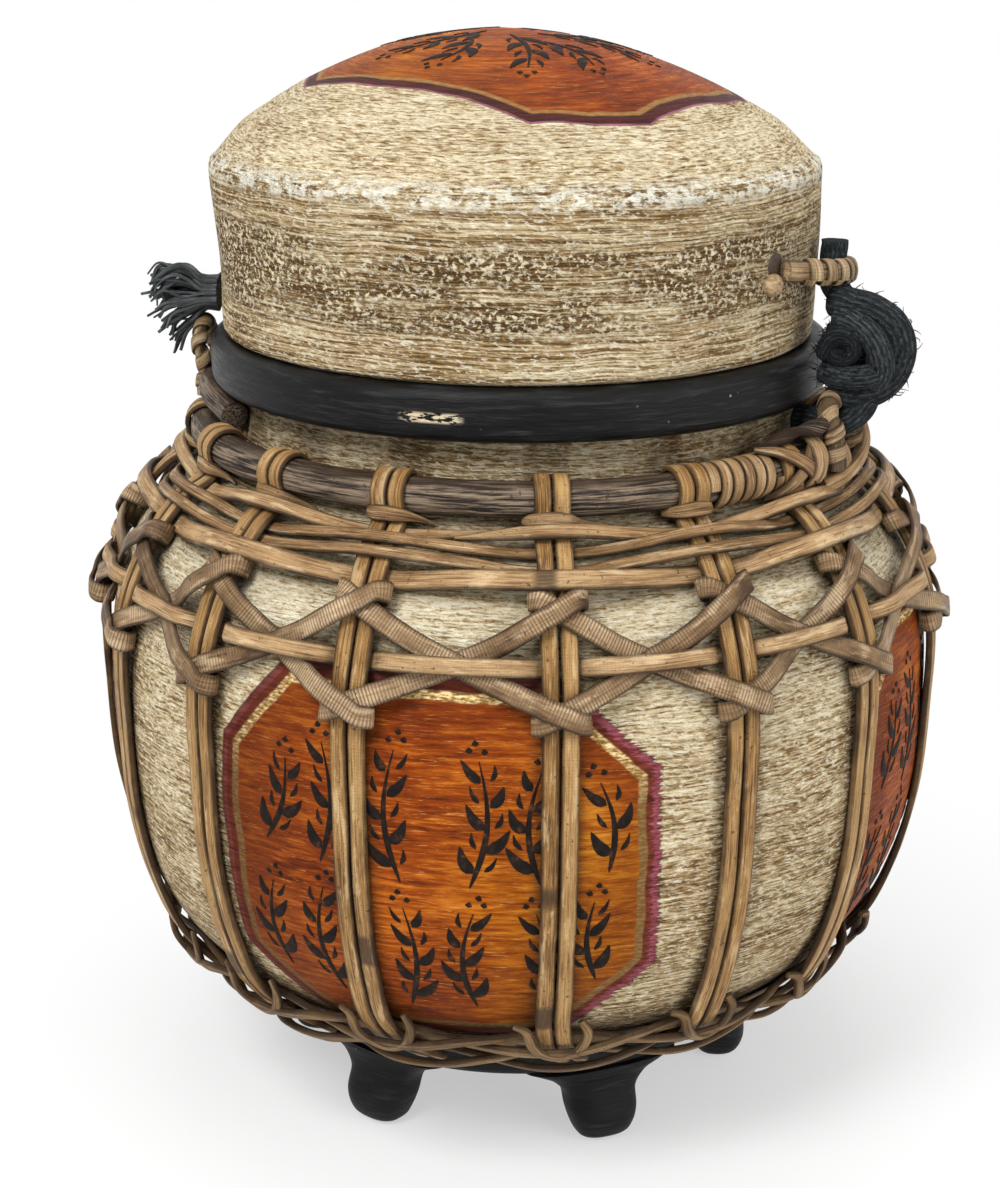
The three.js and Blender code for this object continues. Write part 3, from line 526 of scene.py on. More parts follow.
LOOK = {
    "pot": pot_look(),
    "lid": lid_look(),
    "ring": black_look("black_lacquer_ring", 14, 0.42, 0.15, True),
    "stand": black_look("black_lacquer_stand", 16, 0.55, 0.16),
    "cane": cane_look("straw_cane", (80, 52, 23), (143, 105, 58), (186, 149, 97), (226, 196, 148),
                      lines=0.56),
    "hoop": cane_look("hoop_cane", (76, 51, 28), (136, 103, 66), (187, 154, 112), (236, 210, 168),
                      lines=0.56),
    "brown": cane_look("ringed_cane", (66, 44, 24), (124, 97, 66), (182, 154, 120), (220, 194, 158),
                       ribs=0.5, roughness=0.48, lines=0.22),
    "rough": cane_look("base_cane", (46, 30, 14), (96, 71, 43), (150, 120, 82), (176, 146, 106),
                       ribs=0.08, roughness=0.58),
    "aged": cane_look("aged_cane", (74, 55, 35), (134, 109, 77), (190, 164, 126), (214, 190, 152),
                      ribs=0.1, roughness=0.55),
    "dark": cane_look("dark_hoop_cane", (10, 7, 5), (36, 27, 20), (136, 118, 98), (56, 44, 34),
                      ribs=0.0, fibre=1.05, lines=0.85),
    "cord": cord_look("black_cotton", 34, 17.0, 240.0),
    "yarn": cord_look("black_yarn", 92, 2.0, 620.0),
    "ink": ink_look(),
    "knob": plain_wood_look("pale_peg", (104, 80, 52), (182, 154, 114), 260),
    # dark patch of painted shade for the strap's opening in the lid
    "hole": plain_wood_look("painted_hole_shade", (40, 28, 18), (70, 52, 34), 160),
}


# Meshes


def link(name, mesh, look, smooth_shade=True):
    piece = bpy.data.objects.new(name, mesh)
    bpy.context.scene.collection.objects.link(piece)
    if look is not None and not mesh.materials:
        mesh.materials.append(look)
    if smooth_shade:
        mesh.polygons.foreach_set("use_smooth", [True] * len(mesh.polygons))
    return piece


def mesh_of(name, points, faces, edges=()):
    mesh = bpy.data.meshes.new(name)
    mesh.from_pydata([tuple(p * MM) for p in points], edges, faces)
    if len(faces):
        mesh.validate()
    return mesh


def face_out(mesh):
    work = bmesh.new()
    work.from_mesh(mesh)
    bmesh.ops.recalc_face_normals(work, faces=work.faces)
    work.to_mesh(mesh)
    work.free()
    mesh.update()


def store(mesh, name, values, kind="FLOAT"):
    values = np.asarray(values, np.float32)
    made = mesh.attributes.new(name, kind, "POINT")
    made.data.foreach_set("vector" if kind == "FLOAT_VECTOR" else "value", values.ravel())


def put(piece, body, slot, *nodes):
    if nodes:
        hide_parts(*nodes)
    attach(piece, body)
    return piece


def turned(name, line, sides, look, ripple, painted_shade_and_inside=None):
    """A turned shell from a profile of (radius, height) rows that starts underneath and runs up the outside.

    A radius of zero closes on the axis. Every face points away from the material.
    """
    points, rings, level = [], [], []
    around = np.arange(sides) * TURN / sides
    for (radius, height), run in zip(line, run_along(line)):
        first = len(points)
        if radius < 1e-6:
            circle, ring = [np.array([0, 0, height])], [first] * sides
        else:
            circle, ring = polar(around, radius, height), range(first, first + sides)
        points.extend(circle)
        rings.append(ring)
        level.extend([run] * len(circle))
    points = ripple(np.array(points))
    faces = []
    for a, b in zip(rings, rings[1:]):
        for j in range(sides):
            k = (j + 1) % sides
            face = [a[j], a[k], b[k], b[j]]
            clean = [v for i, v in enumerate(face) if v != face[i - 1]]
            if len(clean) > 2:
                faces.append(clean)
    mesh = mesh_of(name, points, faces)
    store(mesh, "level", np.array(level) * MM)
    # the second attribute holds painted shade and the plain dark inside, when given
    store(mesh, "painted_shade_and_inside", painted_shade_and_inside(points) if painted_shade_and_inside else np.zeros(len(points)))
    piece = link(name, mesh, look)
    mesh.set_sharp_from_angle(angle=math.radians(48))
    return piece


# Strips on a path


def strip_tree():
    """Node tree that puts a rounded strip on each path, from stored half-width and half-thickness."""
    tree = bpy.data.node_groups.new("strip_on_path", "GeometryNodeTree")
    face = tree.interface
    face.new_socket("Geometry", in_out="OUTPUT", socket_type="NodeSocketGeometry")
    face.new_socket("Geometry", in_out="INPUT", socket_type="NodeSocketGeometry")
    sizes = {}
    for name, kind, value in (
        ("Sides", "Int", 12), ("Corner", "Float", 0.6), ("Unevenness", "Float", 0.05),
        ("Uneven Scale", "Float", 60.0), ("Seed", "Float", 0.0), ("Finish", "Material", None),
    ):
        socket = face.new_socket(name, in_out="INPUT", socket_type="NodeSocket" + kind)
        if value is not None:
            socket.default_value = value
        sizes[name] = socket.identifier
    b = Board(tree)
    group = b.add("NodeGroupInput")
    given = {name: Value(b, group.outputs[name]) for name in ("Geometry", *sizes)}

    def named(name):
        return b.out("GeometryNodeInputNamedAttribute", {"Name": name}, data_type="FLOAT_VECTOR")

    def captured(geometry, *items):
        """The geometry with fields fixed on its points, and those fields."""
        keep = b.add("GeometryNodeCaptureAttribute", {"Geometry": geometry}, domain="POINT")
        for name, kind, field in items:
            keep.capture_items.new(kind, name)
            b.plug(field, keep.inputs[name])
        return [Value(b, keep.outputs[name]) for name in ("Geometry", *(item[0] for item in items))]

    curve, centre, wide, thick, along = captured(
        b.out("GeometryNodeMeshToCurve", {"Mesh": given["Geometry"]}),
        ("centre", "VECTOR", b.out("GeometryNodeInputPosition")),
        ("wide", "VECTOR", named("wide")), ("thick", "VECTOR", named("thick")),
        ("along", "FLOAT", b.out("GeometryNodeSplineParameter", output="Length")),
    )
    circle = b.out("GeometryNodeCurvePrimitiveCircle", {"Resolution": given["Sides"], "Radius": 1.0})
    ring, section = captured(circle, ("section", "VECTOR", b.out("GeometryNodeInputPosition")))
    tube = b.out("GeometryNodeCurveToMesh", {"Curve": curve, "Profile Curve": ring, "Fill Caps": True})

    def rounded(value):
        return b.math("POWER", b.math("ABSOLUTE", value), given["Corner"]) * b.math("SIGN", value)

    def scaled(vector, share):
        return b.out("ShaderNodeVectorMath", {0: vector, "Scale": share}, operation="SCALE")

    def total(first, second):
        return b.out("ShaderNodeVectorMath", {0: first, 1: second}, operation="ADD")

    x, y, _ = b.split(section)
    px, py = rounded(x), rounded(y)
    wander = b.noise(b.join(along, px * 0.002, given["Seed"]), given["Uneven Scale"], 2.0)
    swell = 1.0 + (wander - 0.5) * given["Unevenness"]
    place = total(total(centre, scaled(wide, px * swell)), scaled(thick, py * swell))
    moved = b.out("GeometryNodeSetPosition", {"Geometry": tube, "Position": place})
    marked = b.out("GeometryNodeStoreNamedAttribute", {
        "Geometry": moved, "Name": "strand", "Value": b.join(along, px, py),
    }, data_type="FLOAT_VECTOR", domain="POINT")
    real = b.out("GeometryNodeRealizeInstances", {"Geometry": marked})
    done = b.out("GeometryNodeSetMaterial", {"Geometry": real, "Material": given["Finish"]})
    b.plug(done, b.add("NodeGroupOutput").inputs[0])
    return tree, sizes


STRIP_TREE, STRIP_SIZES = strip_tree()


def strips(name, paths, look, sides=12, corner=0.62, uneven=0.05, seed=0.0):
    """One piece from several paths, each a (centre, half width, half thickness) triple of rows in mm."""
    centre, wide, thick = (np.vstack([p[i] for p in paths]) for i in range(3))
    edges, first = [], 0
    for line, _, _ in paths:
        edges += [(first + i, first + i + 1) for i in range(len(line) - 1)]
        first += len(line)
    mesh = mesh_of(name + "_paths", centre, [], edges)
    store(mesh, "wide", wide * MM, "FLOAT_VECTOR")
    store(mesh, "thick", thick * MM, "FLOAT_VECTOR")
    rng = np.random.default_rng(int(seed * 10) + 7)
    store(mesh, "tone", np.concatenate([np.full(len(p[0]), rng.random()) for p in paths]))
    piece = link(name, mesh, None, False)
    modifier = piece.modifiers.new("strip", "NODES")
    modifier.node_group = STRIP_TREE
    given = {"Sides": sides, "Corner": corner, "Unevenness": uneven, "Seed": seed, "Finish": LOOK[look]}
    for key, value in given.items():
        modifier[STRIP_SIZES[key]] = value
    bpy.context.view_layer.update()
    baked = bpy.data.meshes.new_from_object(piece.evaluated_get(bpy.context.evaluated_depsgraph_get()))
    piece.modifiers.remove(modifier)
    piece.data = baked
    baked.name = name
    face_out(baked)
    baked.polygons.foreach_set("use_smooth", [True] * len(baked.polygons))
    baked.set_sharp_from_angle(angle=math.radians(70))
    return piece


def cane(name, paths, look, *nodes, body="pot", slot="pale_cane", **shape):
    return put(strips(name, paths, look, **shape), body, slot, *nodes)


def frame_path(point, out, width, thickness):
    """Path with its width laid across the line and its thickness along out."""
    tangent = unit(np.gradient(point, axis=0))
    wide = unit(np.cross(out, tangent))
    thick = unit(np.cross(tangent, wide))
    return point, wide * np.asarray(width)[..., None] / 2, thick * np.asarray(thickness)[..., None] / 2


def lay(rows, step=1.8):
    """Rows of arc, height, stand-off, width, thickness and roll become a strip's path on the pot."""
    dense = smooth(rows, step)
    point, normal, side = on_pot(dense[:, 0] / BELLY, dense[:, 1], dense[:, 2])
    roll = np.radians(dense[:, 5])[:, None]
    return frame_path(point, normal * np.cos(roll) + side * np.sin(roll), dense[:, 3], dense[:, 4])


def row(angle, across, height, off, width, thickness, roll=0.0):
    return [(angle + across / pot_radius(height)) * BELLY, height, off, width, thickness, roll]


def carried_frame(line):
    """Two directions across a line, carried along it without twist."""
    tangent = unit(np.gradient(line, axis=0))
    start = np.array([0.3, 0.2, 1.0])
    rows = [unit(start - tangent[0] * (start @ tangent[0]))]
    for t in tangent[1:]:
        rows.append(unit(rows[-1] - t * (rows[-1] @ t)))
    a = np.array(rows)
    return a, np.cross(tangent, a)


def rod(line, wide, thick=None):
    """Path of a round or oval rod."""
    a, c = carried_frame(line)
    return line, a * wide, c * (wide if thick is None else thick)


def upright_at(k):
    """Angle of upright k, counted on past a whole turn."""
    return UPRIGHTS[k % COUNT] + TURN * (k // COUNT)


def middle_after(k):
    return upright_at(k) + (UPRIGHTS[(k + 1) % COUNT] - UPRIGHTS[k % COUNT]) % TURN / 2


# Camera first, then the cords


def set_camera():
    """A camera in front of the pot and a little above it, in metres and degrees."""
    stand, look_down, roll = (0, -0.7829, 0.4255), 17.66, 0.3
    data = bpy.data.cameras.new("camera")
    data.lens = 69.2
    data.shift_x = -0.016
    camera = bpy.data.objects.new("camera", data)
    down = Matrix.Rotation(math.radians(90 - look_down), 4, "X")
    lean = Matrix.Rotation(math.radians(roll), 4, "Z")
    camera.matrix_world = Matrix.Translation(stand) @ down @ lean
    bpy.context.scene.collection.objects.link(camera)
    bpy.context.scene.camera = camera


RIGHT_CORD = [
    (64.5, -7.8, 10.9, 0), (64.5, 1.2, 10.9, 0), (64.5, 9.2, 11.3, 0), (65, 15.2, 17.2, 0),
    (66, 19.5, 15.7, 0.3), (67, 19, 15.7, 0.6), (68.5, 14.8, 18.6, 0.8), (69.7, 10.2, 17.4, 1),
    (70, 7.2, 22.4, 1), (70, 7.2, 28.4, 1), (70, 7.2, 35.4, 1),
]
LEFT_CORD = [
    (234, 7.2, 35.4, 1), (234, 7.2, 28.4, 1), (234, 7.2, 21.4, 1), (236, 8.8, 15.4, 1),
    (241, 9.4, 17.1, 0.8), (248, 8.6, 20.7, 0.6), (254.5, 5.6, 26.9, 0.4), (259.5, 3.5, 33.8, 0.2),
    (262.3, 4.8, 41, 0), (262.7, 8.8, 41, 0), (262.7, 11.2, 41, 0),
]


def cord_line(route):
    """Angle, reach and rise: from the neck hoop where the share is 0, from the lid's edge where it is 1."""
    rows = []
    for angle, reach, rise, share in route:
        radius = NECK_HOOP_R + (LID_BOTTOM_R - NECK_HOOP_R) * share + reach
        rows.append((angle, radius, NECK_HOOP_Z + (LID_BOTTOM - NECK_HOOP_Z) * share + rise))
    return polar_line(rows, 1.2)


def rope(name, line, radius, plies=3, lay_length=26.0, relief=0.16, sides=30):
    """A twisted rope as one closed tube with its plies raised on it."""
    a, c = carried_frame(line)
    run = run_along(line)
    around = np.arange(sides) * TURN / sides
    cos, sin = np.cos(around)[:, None], np.sin(around)[:, None]
    rows, marks = [], []
    for centre, u, v, s in zip(line, a, c, run):
        lobes = np.abs(np.cos(plies / 2 * (around - TURN * s / lay_length))) ** 0.6
        rows.append(centre + radius * (1 - relief + relief * lobes)[:, None] * (cos * u + sin * v))
        marks += [(s * MM, math.cos(t), math.sin(t)) for t in around]
    low, high = len(rows) * sides, len(rows) * sides + 1
    ring = [(j, (j + 1) % sides) for j in range(sides)]
    faces = [(i + j, i + k, i + sides + k, i + sides + j)
             for i in range(0, low - sides, sides) for j, k in ring]
    for j, k in ring:
        faces += [(low, k, j), (high, low - sides + j, low - sides + k)]
    mesh = mesh_of(name, np.vstack(rows + [line[:1], line[-1:]]), faces)
    store(mesh, "strand", marks + [(0, 0, 0), (run[-1] * MM, 0, 0)], "FLOAT_VECTOR")
    store(mesh, "tone", np.full(len(mesh.vertices), 0.5))
    face_out(mesh)
    return link(name, mesh, LOOK["cord"])


def soft_ends(line, radius, run=3.0):
    """Radius along a line that closes roundly at both ends."""
    gone = run_along(line)
    near = np.clip(np.minimum(gone, gone[-1] - gone) / run, 0.02, 1)
    return (radius * np.sqrt(1 - (1 - near) ** 2))[:, None]


def fuzz(line, radius, count, seed):
    """Short fine fibres that stand off a cord."""
    rng = np.random.default_rng(seed)
    a, c = carried_frame(line)
    paths = []
    for i in rng.integers(1, len(line) - 1, count):
        turn = rng.random() * TURN
        out = a[i] * math.cos(turn) + c[i] * math.sin(turn)
        along = unit(line[i + 1] - line[i - 1]) * rng.choice((-1, 1))
        long = 0.9 + 2.0 * rng.random() ** 1.5
        root, half = line[i] + out * radius * 0.85, line[i] + out * (radius + 0.4 * long) + along * long * 0.5
        tip = line[i] + out * (radius + 0.75 * long) + along * long + rng.normal(size=3) * 0.4
        hair = smooth([root, half, tip], 0.9)
        paths.append(rod(hair, np.linspace(0.2, 0.07, len(hair))[:, None]))
    return paths


def right_knot():
    """The cord looped and drawn into the big knot: points run right, forward and up from its middle."""
    centre = polar(math.radians(66.6), 122.8, 276.5)
    loops = (
        (5.4, [(-13, -3, 16), (-6, 0, 14.6), (1, 2, 13), (8, 3, 8), (10.8, 2.5, 0), (8.4, 3, -8),
               (2, 3.6, -13), (-5, 2.6, -14), (-11, -1, -12)]),
        (3.7, [(-13.4, 2, -3.4), (-12.6, 4, 1.4), (-11, 5.6, 4.6), (-8.4, 6.4, 5.4), (-5.9, 6.4, 3.6),
               (-5.5, 6.2, 0.6), (-7.6, 5.8, -1.4), (-10.4, 5.2, -1.0), (-11, 3, 1.4)]),
        (4.3, [(-11, 0, 11), (-4.6, 5, 9.4), (0.4, 7.2, 5.4), (3.6, 7.6, -0.4), (4.6, 6.6, -6.4),
               (1.4, 4.6, -11.4), (-4, 2, -14)]),
        (4.0, [(4.6, 3, -5.6), (0, 7.4, -7.6), (-5.4, 7.6, -8.2), (-10.4, 5, -8.0), (-14, 0, -6.6)]),
        (5.2, [(-2, -5, 12), (5, -5.5, 7), (7.4, -5.5, -1), (4, -5.5, -8), (-3, -5, -11)]),
        (5.0, [(-9.5, -2, 9), (-7.5, -2, 3), (-8, -2, -3), (-9, -3, -8)]),
    )
    paths, hairs = [], []
    for i, (radius, loop) in enumerate(loops):
        line = smooth([centre + np.array([x, -forward, up]) for x, forward, up in loop], 1.0)
        paths.append(rod(line, soft_ends(line, radius)))
        hairs += fuzz(line, radius, 190, 61 + i)
    return cane("cord_knot", paths + hairs, "cord", "knot_right", slot="black_cord", sides=18, corner=0.95,
                uneven=0.22, seed=3.1)


def frayed_end():
    """Loose yarns that cover the left cord's end and fan out from it, the lower ones hanging."""
    yarns, long = 96, 24.5
    rng = np.random.default_rng(11)
    here = math.radians(262.7)
    root = polar(here, 108.5, 282.3)
    out, side = outward(here), sideways(here)
    paths = []
    for _ in range(yarns):
        turn = rng.random() * TURN
        reach = math.sqrt(rng.random())
        high, flat = math.sin(turn) * reach, math.cos(turn) * reach
        sunk = max(0, -high)
        far = long * (1 - 0.42 * sunk) * (0.74 + 0.26 * rng.random())
        rise = 9.5 * high + 1.0
        curl = 7.0 * rng.random() * (0.4 + max(0, high))
        drop = 10 * sunk ** 1.2
        splay = rng.normal() * 1.6
        wave = side * rng.normal() * 1.4 + UP * rng.normal() * 1.3

        def at(ahead, wide, up):
            return root + out * ahead + side * flat * wide + UP * up

        start = at(0, 5.2, high * 5.4)
        half = at(far * 0.5, 7.5, rise * 0.95 - drop * 0.2) + wave
        bend = at(far * 0.86, 9, rise - 0.45 * curl - 0.5 * drop) - wave * 0.4
        tip = at(far * (0.96 + 0.16 * sunk) + splay, 10, rise - 1.3 * curl - 0.6 - drop + 0.5 * splay)
        line = smooth([start - out * 2, start + out * 3, half, bend, tip], 1.2)
        paths.append(rod(line, np.linspace(1.25, 0.55, len(line))[:, None] * (0.55 + 0.5 * rng.random())))
    return cane("frayed_end_left", paths, "yarn", "tassel_left", slot="black_cord", sides=7, corner=1.0,
                uneven=0.3, seed=5.2)


def make_cords():
    right_line, left_line = cord_line(RIGHT_CORD), cord_line(LEFT_CORD)
    right = rope("cord_right", right_line, CORD_RADIUS)
    put(right, "pot", "black_cord", "tie_right", "tie_right_top")
    left = put(rope("cord_left", left_line, CORD_RADIUS), "pot", "black_cord", "tie_left")
    for piece, line, other, end in (
        (right, right_line, right_knot(), "knot"), (left, left_line, frayed_end(), "bare"),
    ):
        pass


set_camera()
make_cords()


# Turned and carved pieces


def hand_ripple(amount, scale):
    """Small unevenness of a hand-made shell, the same on its inner and outer face."""
    def apply(points):
        moved = points.copy()
        for i, p in enumerate(points):
            radius = math.hypot(p[0], p[1])
            if radius >= 1:
                swing = noise.noise(Vector(p * scale)) * amount * min(1, radius / 60)
                moved[i, :2] = p[:2] * (1 + swing / radius)
        return moved
    return apply


POT_RIPPLE = hand_ripple(0.5, 0.035)
HOOP_HEIGHTS = [height_of(s) for s in (0.8635, 0.8425, 0.815, 0.7155, 0.1, 0.045)]


def pot_painted_shade_and_inside(points):
    """Painted shade from 0 to 1 beside the canes and under the neck hoop, darker towards the bottom, and
    above 1 inside, where the pot is plain dark.
    """
    angle = np.arctan2(points[:, 0], -points[:, 1])
    radius, height = np.hypot(points[:, 0], points[:, 1]), points[:, 2]
    shade = np.zeros(len(points))
    # painted shade beside each upright and along each hoop
    for a in UPRIGHTS:
        gap = np.abs((angle - a + math.pi) % TURN - math.pi) * radius
        shade = np.maximum(shade, 0.8 * np.exp(-np.maximum(0, gap - 5.4) ** 2 / 6.0))
    for z in HOOP_HEIGHTS:
        shade = np.maximum(shade, 0.6 * np.exp(-np.maximum(0, np.abs(height - z) - 2.6) ** 2 / 5.0))
    # darker towards the bottom
    low = np.clip((78 - height) / 22, 0, 1) * 0.75
    # painted shade under the neck hoop, in the gap below the ring
    neck = np.clip((height - 232) / 10, 0, 1) * np.clip((262 - height) / 4, 0, 1) * 0.42
    shade = np.where(height < NECK_TOP + 2, np.maximum(np.maximum(shade, low), neck), 0.12)
    # inside the wall the value is 1.45, which the pot's look paints plain dark
    wall = np.where(height < NECK_TOP + 1, pot_radius(np.clip(height, BODY_BASE, NECK_TOP)), LIP_R)
    return np.where(radius < wall - 0.88 * POT_WALL, 1.45, shade)


def make_pot():
    """The pot from the middle of its base, up the outside, over the lip and down the inside."""
    heights = np.concatenate([np.arange(BODY_BASE + 0.8, NECK_TOP - 0.6, 1.9), [NECK_TOP]])
    inner, floor = LIP_R - POT_WALL, BODY_BASE + POT_WALL
    line = [(0, BODY_BASE), (60, BODY_BASE), (86.5, BODY_BASE)]
    line += [(pot_radius(h), h) for h in heights]
    line += [
        (LIP_R + 0.6, NECK_TOP), (LIP_R, NECK_TOP + 0.6), (LIP_R, 270), (LIP_R, LIP_TOP - 1.2),
        (LIP_R - 1.2, LIP_TOP), (LIP_R - 3.8, LIP_TOP),
        (inner, LIP_TOP - 1.2), (inner, 262), (inner, 252),
    ]
    for share in (0.95, 0.9, 0.83, 0.76, 0.7, 0.6, 0.5, 0.4, 0.28, 0.18, 0.1, 0.06):
        point, _, _ = on_pot(0.0, height_of(share), -POT_WALL)
        line.append((-point[1], point[2]))
    line += [(96, floor + 4), (83, floor + 0.4), (60, floor), (0, floor)]
    pot = turned("painted_pot", line, 300, LOOK["pot"], POT_RIPPLE, pot_painted_shade_and_inside)
    put(pot, "pot", "pot_wash", "pot_shell")


def lid_line():
    """The lid's profile: bottom edge, side, crease, dome to its top, then the inside back down."""
    def at(shares, reach):
        return [[reach * r, LID_CREASE + LID_DOME * z, 0] for r, z in shares]

    side = [(0.0, 101.8), (0.05, 102.1), (0.35, 102.6), (0.7, 103.8), (0.92, 104.9)]
    side = smooth([[r, LID_BOTTOM + LID_SIDE * s, 0] for s, r in side], 1.6)
    dome = smooth(at((
        (0.991, 0.022), (0.974, 0.055), (0.945, 0.125), (0.88, 0.28), (0.78, 0.43),
        (0.65, 0.6), (0.5, 0.755), (0.32, 0.895), (0.15, 0.965), (0, 1),
    ), LID_CREASE_R), 1.6)
    inside = smooth(at(((0, 0.84), (0.3, 0.76), (0.62, 0.52), (0.92, 0.14), (0.98, 0.03)), 99.3), 6)
    return np.vstack([
        [(LID_INNER_R, LID_BOTTOM), (100.4, LID_BOTTOM), (101.5, LID_BOTTOM + 0.8)], side[1:, :2],
        [(LID_CREASE_R - 0.3, LID_CREASE - 2.2), (LID_CREASE_R - 0.4, LID_CREASE - 0.6)], dome[:-1, :2],
        [(0, LID_CREASE + LID_DOME)], inside[:, :2], [(LID_INNER_R, 300), (LID_INNER_R, LID_BOTTOM)],
    ])


def lid_shape(points):
    """The lid's hand-made unevenness: small ripples, and a dome whose top sits a little to one side."""
    moved = hand_ripple(0.7, 0.03)(points)
    right = np.clip(points[:, 0] / 100, 0, 1)
    moved[:, 0] -= LID_LEAN * np.clip((points[:, 2] - LID_CREASE) / LID_DOME, 0, 1)
    moved[:, 0] -= 1.9 * np.clip(points[:, 0] / 100, 0, 1)
    moved[:, 0] -= 1.6 * right * np.exp(-((points[:, 2] - LID_CREASE) / 14) ** 2)
    return moved


def make_lid():
    def inner_side(points):
        # 1 on the lid's inner face, which the lid's look paints plain dark
        shade = np.zeros(len(points))
        shade[np.argmax(points[:, 2]) + 1:] = 1.0
        return shade

    lid = turned("painted_lid", lid_line(), 300, LOOK["lid"], lid_shape, inner_side)
    put(lid, "lid", "lid_wash", "lid_shell")


def round_edge(outer, low, high, lower_steps, upper_steps, middle, bend=4):
    """Profile up a plate's or ring's outside, with both edges rounded."""
    line = [(outer - bend, low)]
    line += [(outer - bend + bend * math.sin(t), low + bend - bend * math.cos(t))
             for t in np.linspace(0.2, math.pi / 2, lower_steps)]
    line += [middle]
    line += [(outer - bend + bend * math.cos(t), high - bend + bend * math.sin(t))
             for t in np.linspace(0, math.pi / 2, upper_steps)]
    return line


def make_ring():
    """Black ring round the pot's lip, on which the lid rests."""
    inner, outer, low, high = LIP_R + SEAT, LIP_R + 14.1, NECK_TOP + SEAT, NECK_TOP + SEAT + 17
    line = [(inner, low)] + round_edge(outer, low, high, 6, 7, (outer + 0.1, low + 8))
    line += [(inner + 1, high), (inner, high - 1), (inner, low)]
    ring = turned("rim_ring_lacquer", line, 300, LOOK["ring"], hand_ripple(0.35, 0.03))
    put(ring, "pot", "black_ring", "rim_ring")


def make_stand():
    """Round plate under the pot, which the feet carry."""
    edge, top = 84.0, BODY_BASE - SEAT
    low = top - PLATE_THICK
    line = [(0, low), (60, low)] + round_edge(edge, low, top, 5, 6, (edge, top - 8)) + [(60, top), (0, top)]
    plate = turned("stand_top", line, 200, LOOK["stand"], hand_ripple(0.4, 0.03))
    put(plate, "pot", "black_stand", "stand_plate")


def make_feet():
    """Carved feet: an arched shoulder, a narrow ankle and a rounded toe that turns out.

    Each row of their shape is a height, half a width, and the inner and the outer reach.
    """
    height, sides = BODY_BASE - SEAT - PLATE_THICK, 36
    shape = smooth([
        [0, 7, 70.5, 80.5], [1.5, 9.2, 68.8, 83.8], [5, 11, 66.9, 85.9], [10, 12.4, 64.8, 86.2],
        [17, 13.4, 63.0, 83.0], [22.5, 18.5, 62.0, 82.2], [26, 24.5, 62, 83.4], [height, 29, 62, 83.6],
    ], 1.2)
    around = np.arange(sides) * TURN / sides
    cos, sin = np.cos(around), np.sin(around)
    for i in range(6):
        angle = math.radians((-39 if i == 0 else -37) + 60 * i)
        points = []
        for z, half, inner, outer in shape:
            across = half * np.sign(cos) * np.abs(cos) ** 0.8
            reach = (inner + outer) / 2 + (outer - inner) / 2 * np.sign(sin) * np.abs(sin) ** 0.7
            points.extend(outward(angle) * reach[:, None] + sideways(angle) * across[:, None] + UP * z)
        rings = [range(first, first + sides) for first in range(0, len(points), sides)]
        faces = [list(rings[0])[::-1], list(rings[-1])]
        for a, b in zip(rings, rings[1:]):
            faces += [(a[j], a[(j + 1) % sides], b[(j + 1) % sides], b[j]) for j in range(sides)]
        mesh = mesh_of(f"carved_foot_{i + 1}", points, faces)
        face_out(mesh)
        piece = link(mesh.name, mesh, LOOK["stand"])
        mesh.set_sharp_from_angle(angle=math.radians(60))
        put(piece, "pot", "black_stand", f"foot_{i + 1}")


make_pot()
make_lid()
make_ring()
make_stand()
make_feet()


# The cane cage


def make_neck_hoop():
    """One thick cane ring whose two ends lie over each other at the left."""
    angle = np.radians(np.arange(0, 361.0, 1.5)) + math.radians(120)
    line = polar(angle, NECK_HOOP_R, NECK_HOOP_Z)
    hoop = (line, np.ones((len(line), 1)) * UP * NECK_HOOP_TUBE, outward(angle) * NECK_HOOP_TUBE)
    cane("neck_hoop_cane", [hoop], "dark", "neck_hoop", slot="dark_cane",
         sides=26, corner=0.95, uneven=0.1, seed=1.0)
    line = polar_line((
        (-116, 108.4, 250.4), (-103, 108.8, 252.6), (-90, 107.6, 253.4),
        (-79, 105.2, 252.6), (-68, 102.8, 250.6),
    ), 2.0)
    cane("neck_hoop_overlap", [rod(line, 4.6)], "dark", slot="dark_cane",
         sides=20, corner=0.95, uneven=0.12, seed=1.4)


UPRIGHT_STATIONS = [
    (0.028, 1, 1), (0.07, 0.4, 1), (0.13, 0.05, 1), (0.22, 0, 0.15), (0.34, 0, 0), (0.49, 0, 0),
    (0.62, 0, 0.6), (0.68, 0, 1), (0.725, 0, 1), (0.768, 0, 1), (0.812, 0, 1), (0.8443, 0, 1), (0.876, 0, 1),
]
LEG_LINES = []


def upright_leg(angle, across):
    """One leg up the pot by share of height, sideways bend and closeness, then over the neck hoop."""
    wrap_thick = 1.9
    wrap_radius = NECK_HOOP_TUBE + 0.35 + wrap_thick / 2
    rows = []
    for share, bent, close in UPRIGHT_STATIONS:
        height = height_of(share)
        off = HOOP_GAP + (STAND_OFF - HOOP_GAP) * close + STAKE_THICK / 2 + (LIFT if share > 0.78 else 0)
        point, normal, _ = on_pot(angle + (across + 9 * bent) / pot_radius(height), height, off)
        rows.append([*point, *normal, STAKE_THICK])
    for roll in (-30, 20, 65, 110, 152):
        turn = math.radians(roll)
        here = angle + across / (NECK_HOOP_R + wrap_radius * math.cos(turn))
        out = outward(here) * math.cos(turn) + UP * math.sin(turn)
        rows.append([*(polar(here, NECK_HOOP_R, NECK_HOOP_Z) + out * wrap_radius), *out, wrap_thick])
    dense = smooth(rows, 2.2)
    wide = sideways(angle) * np.ones((len(dense), 1))
    out = unit(dense[:, 3:6] - wide * (dense[:, 3:6] * wide).sum(1)[:, None])
    return dense[:, :3], wide * STAKE_WIDTH / 2, out, dense[:, 6:7]


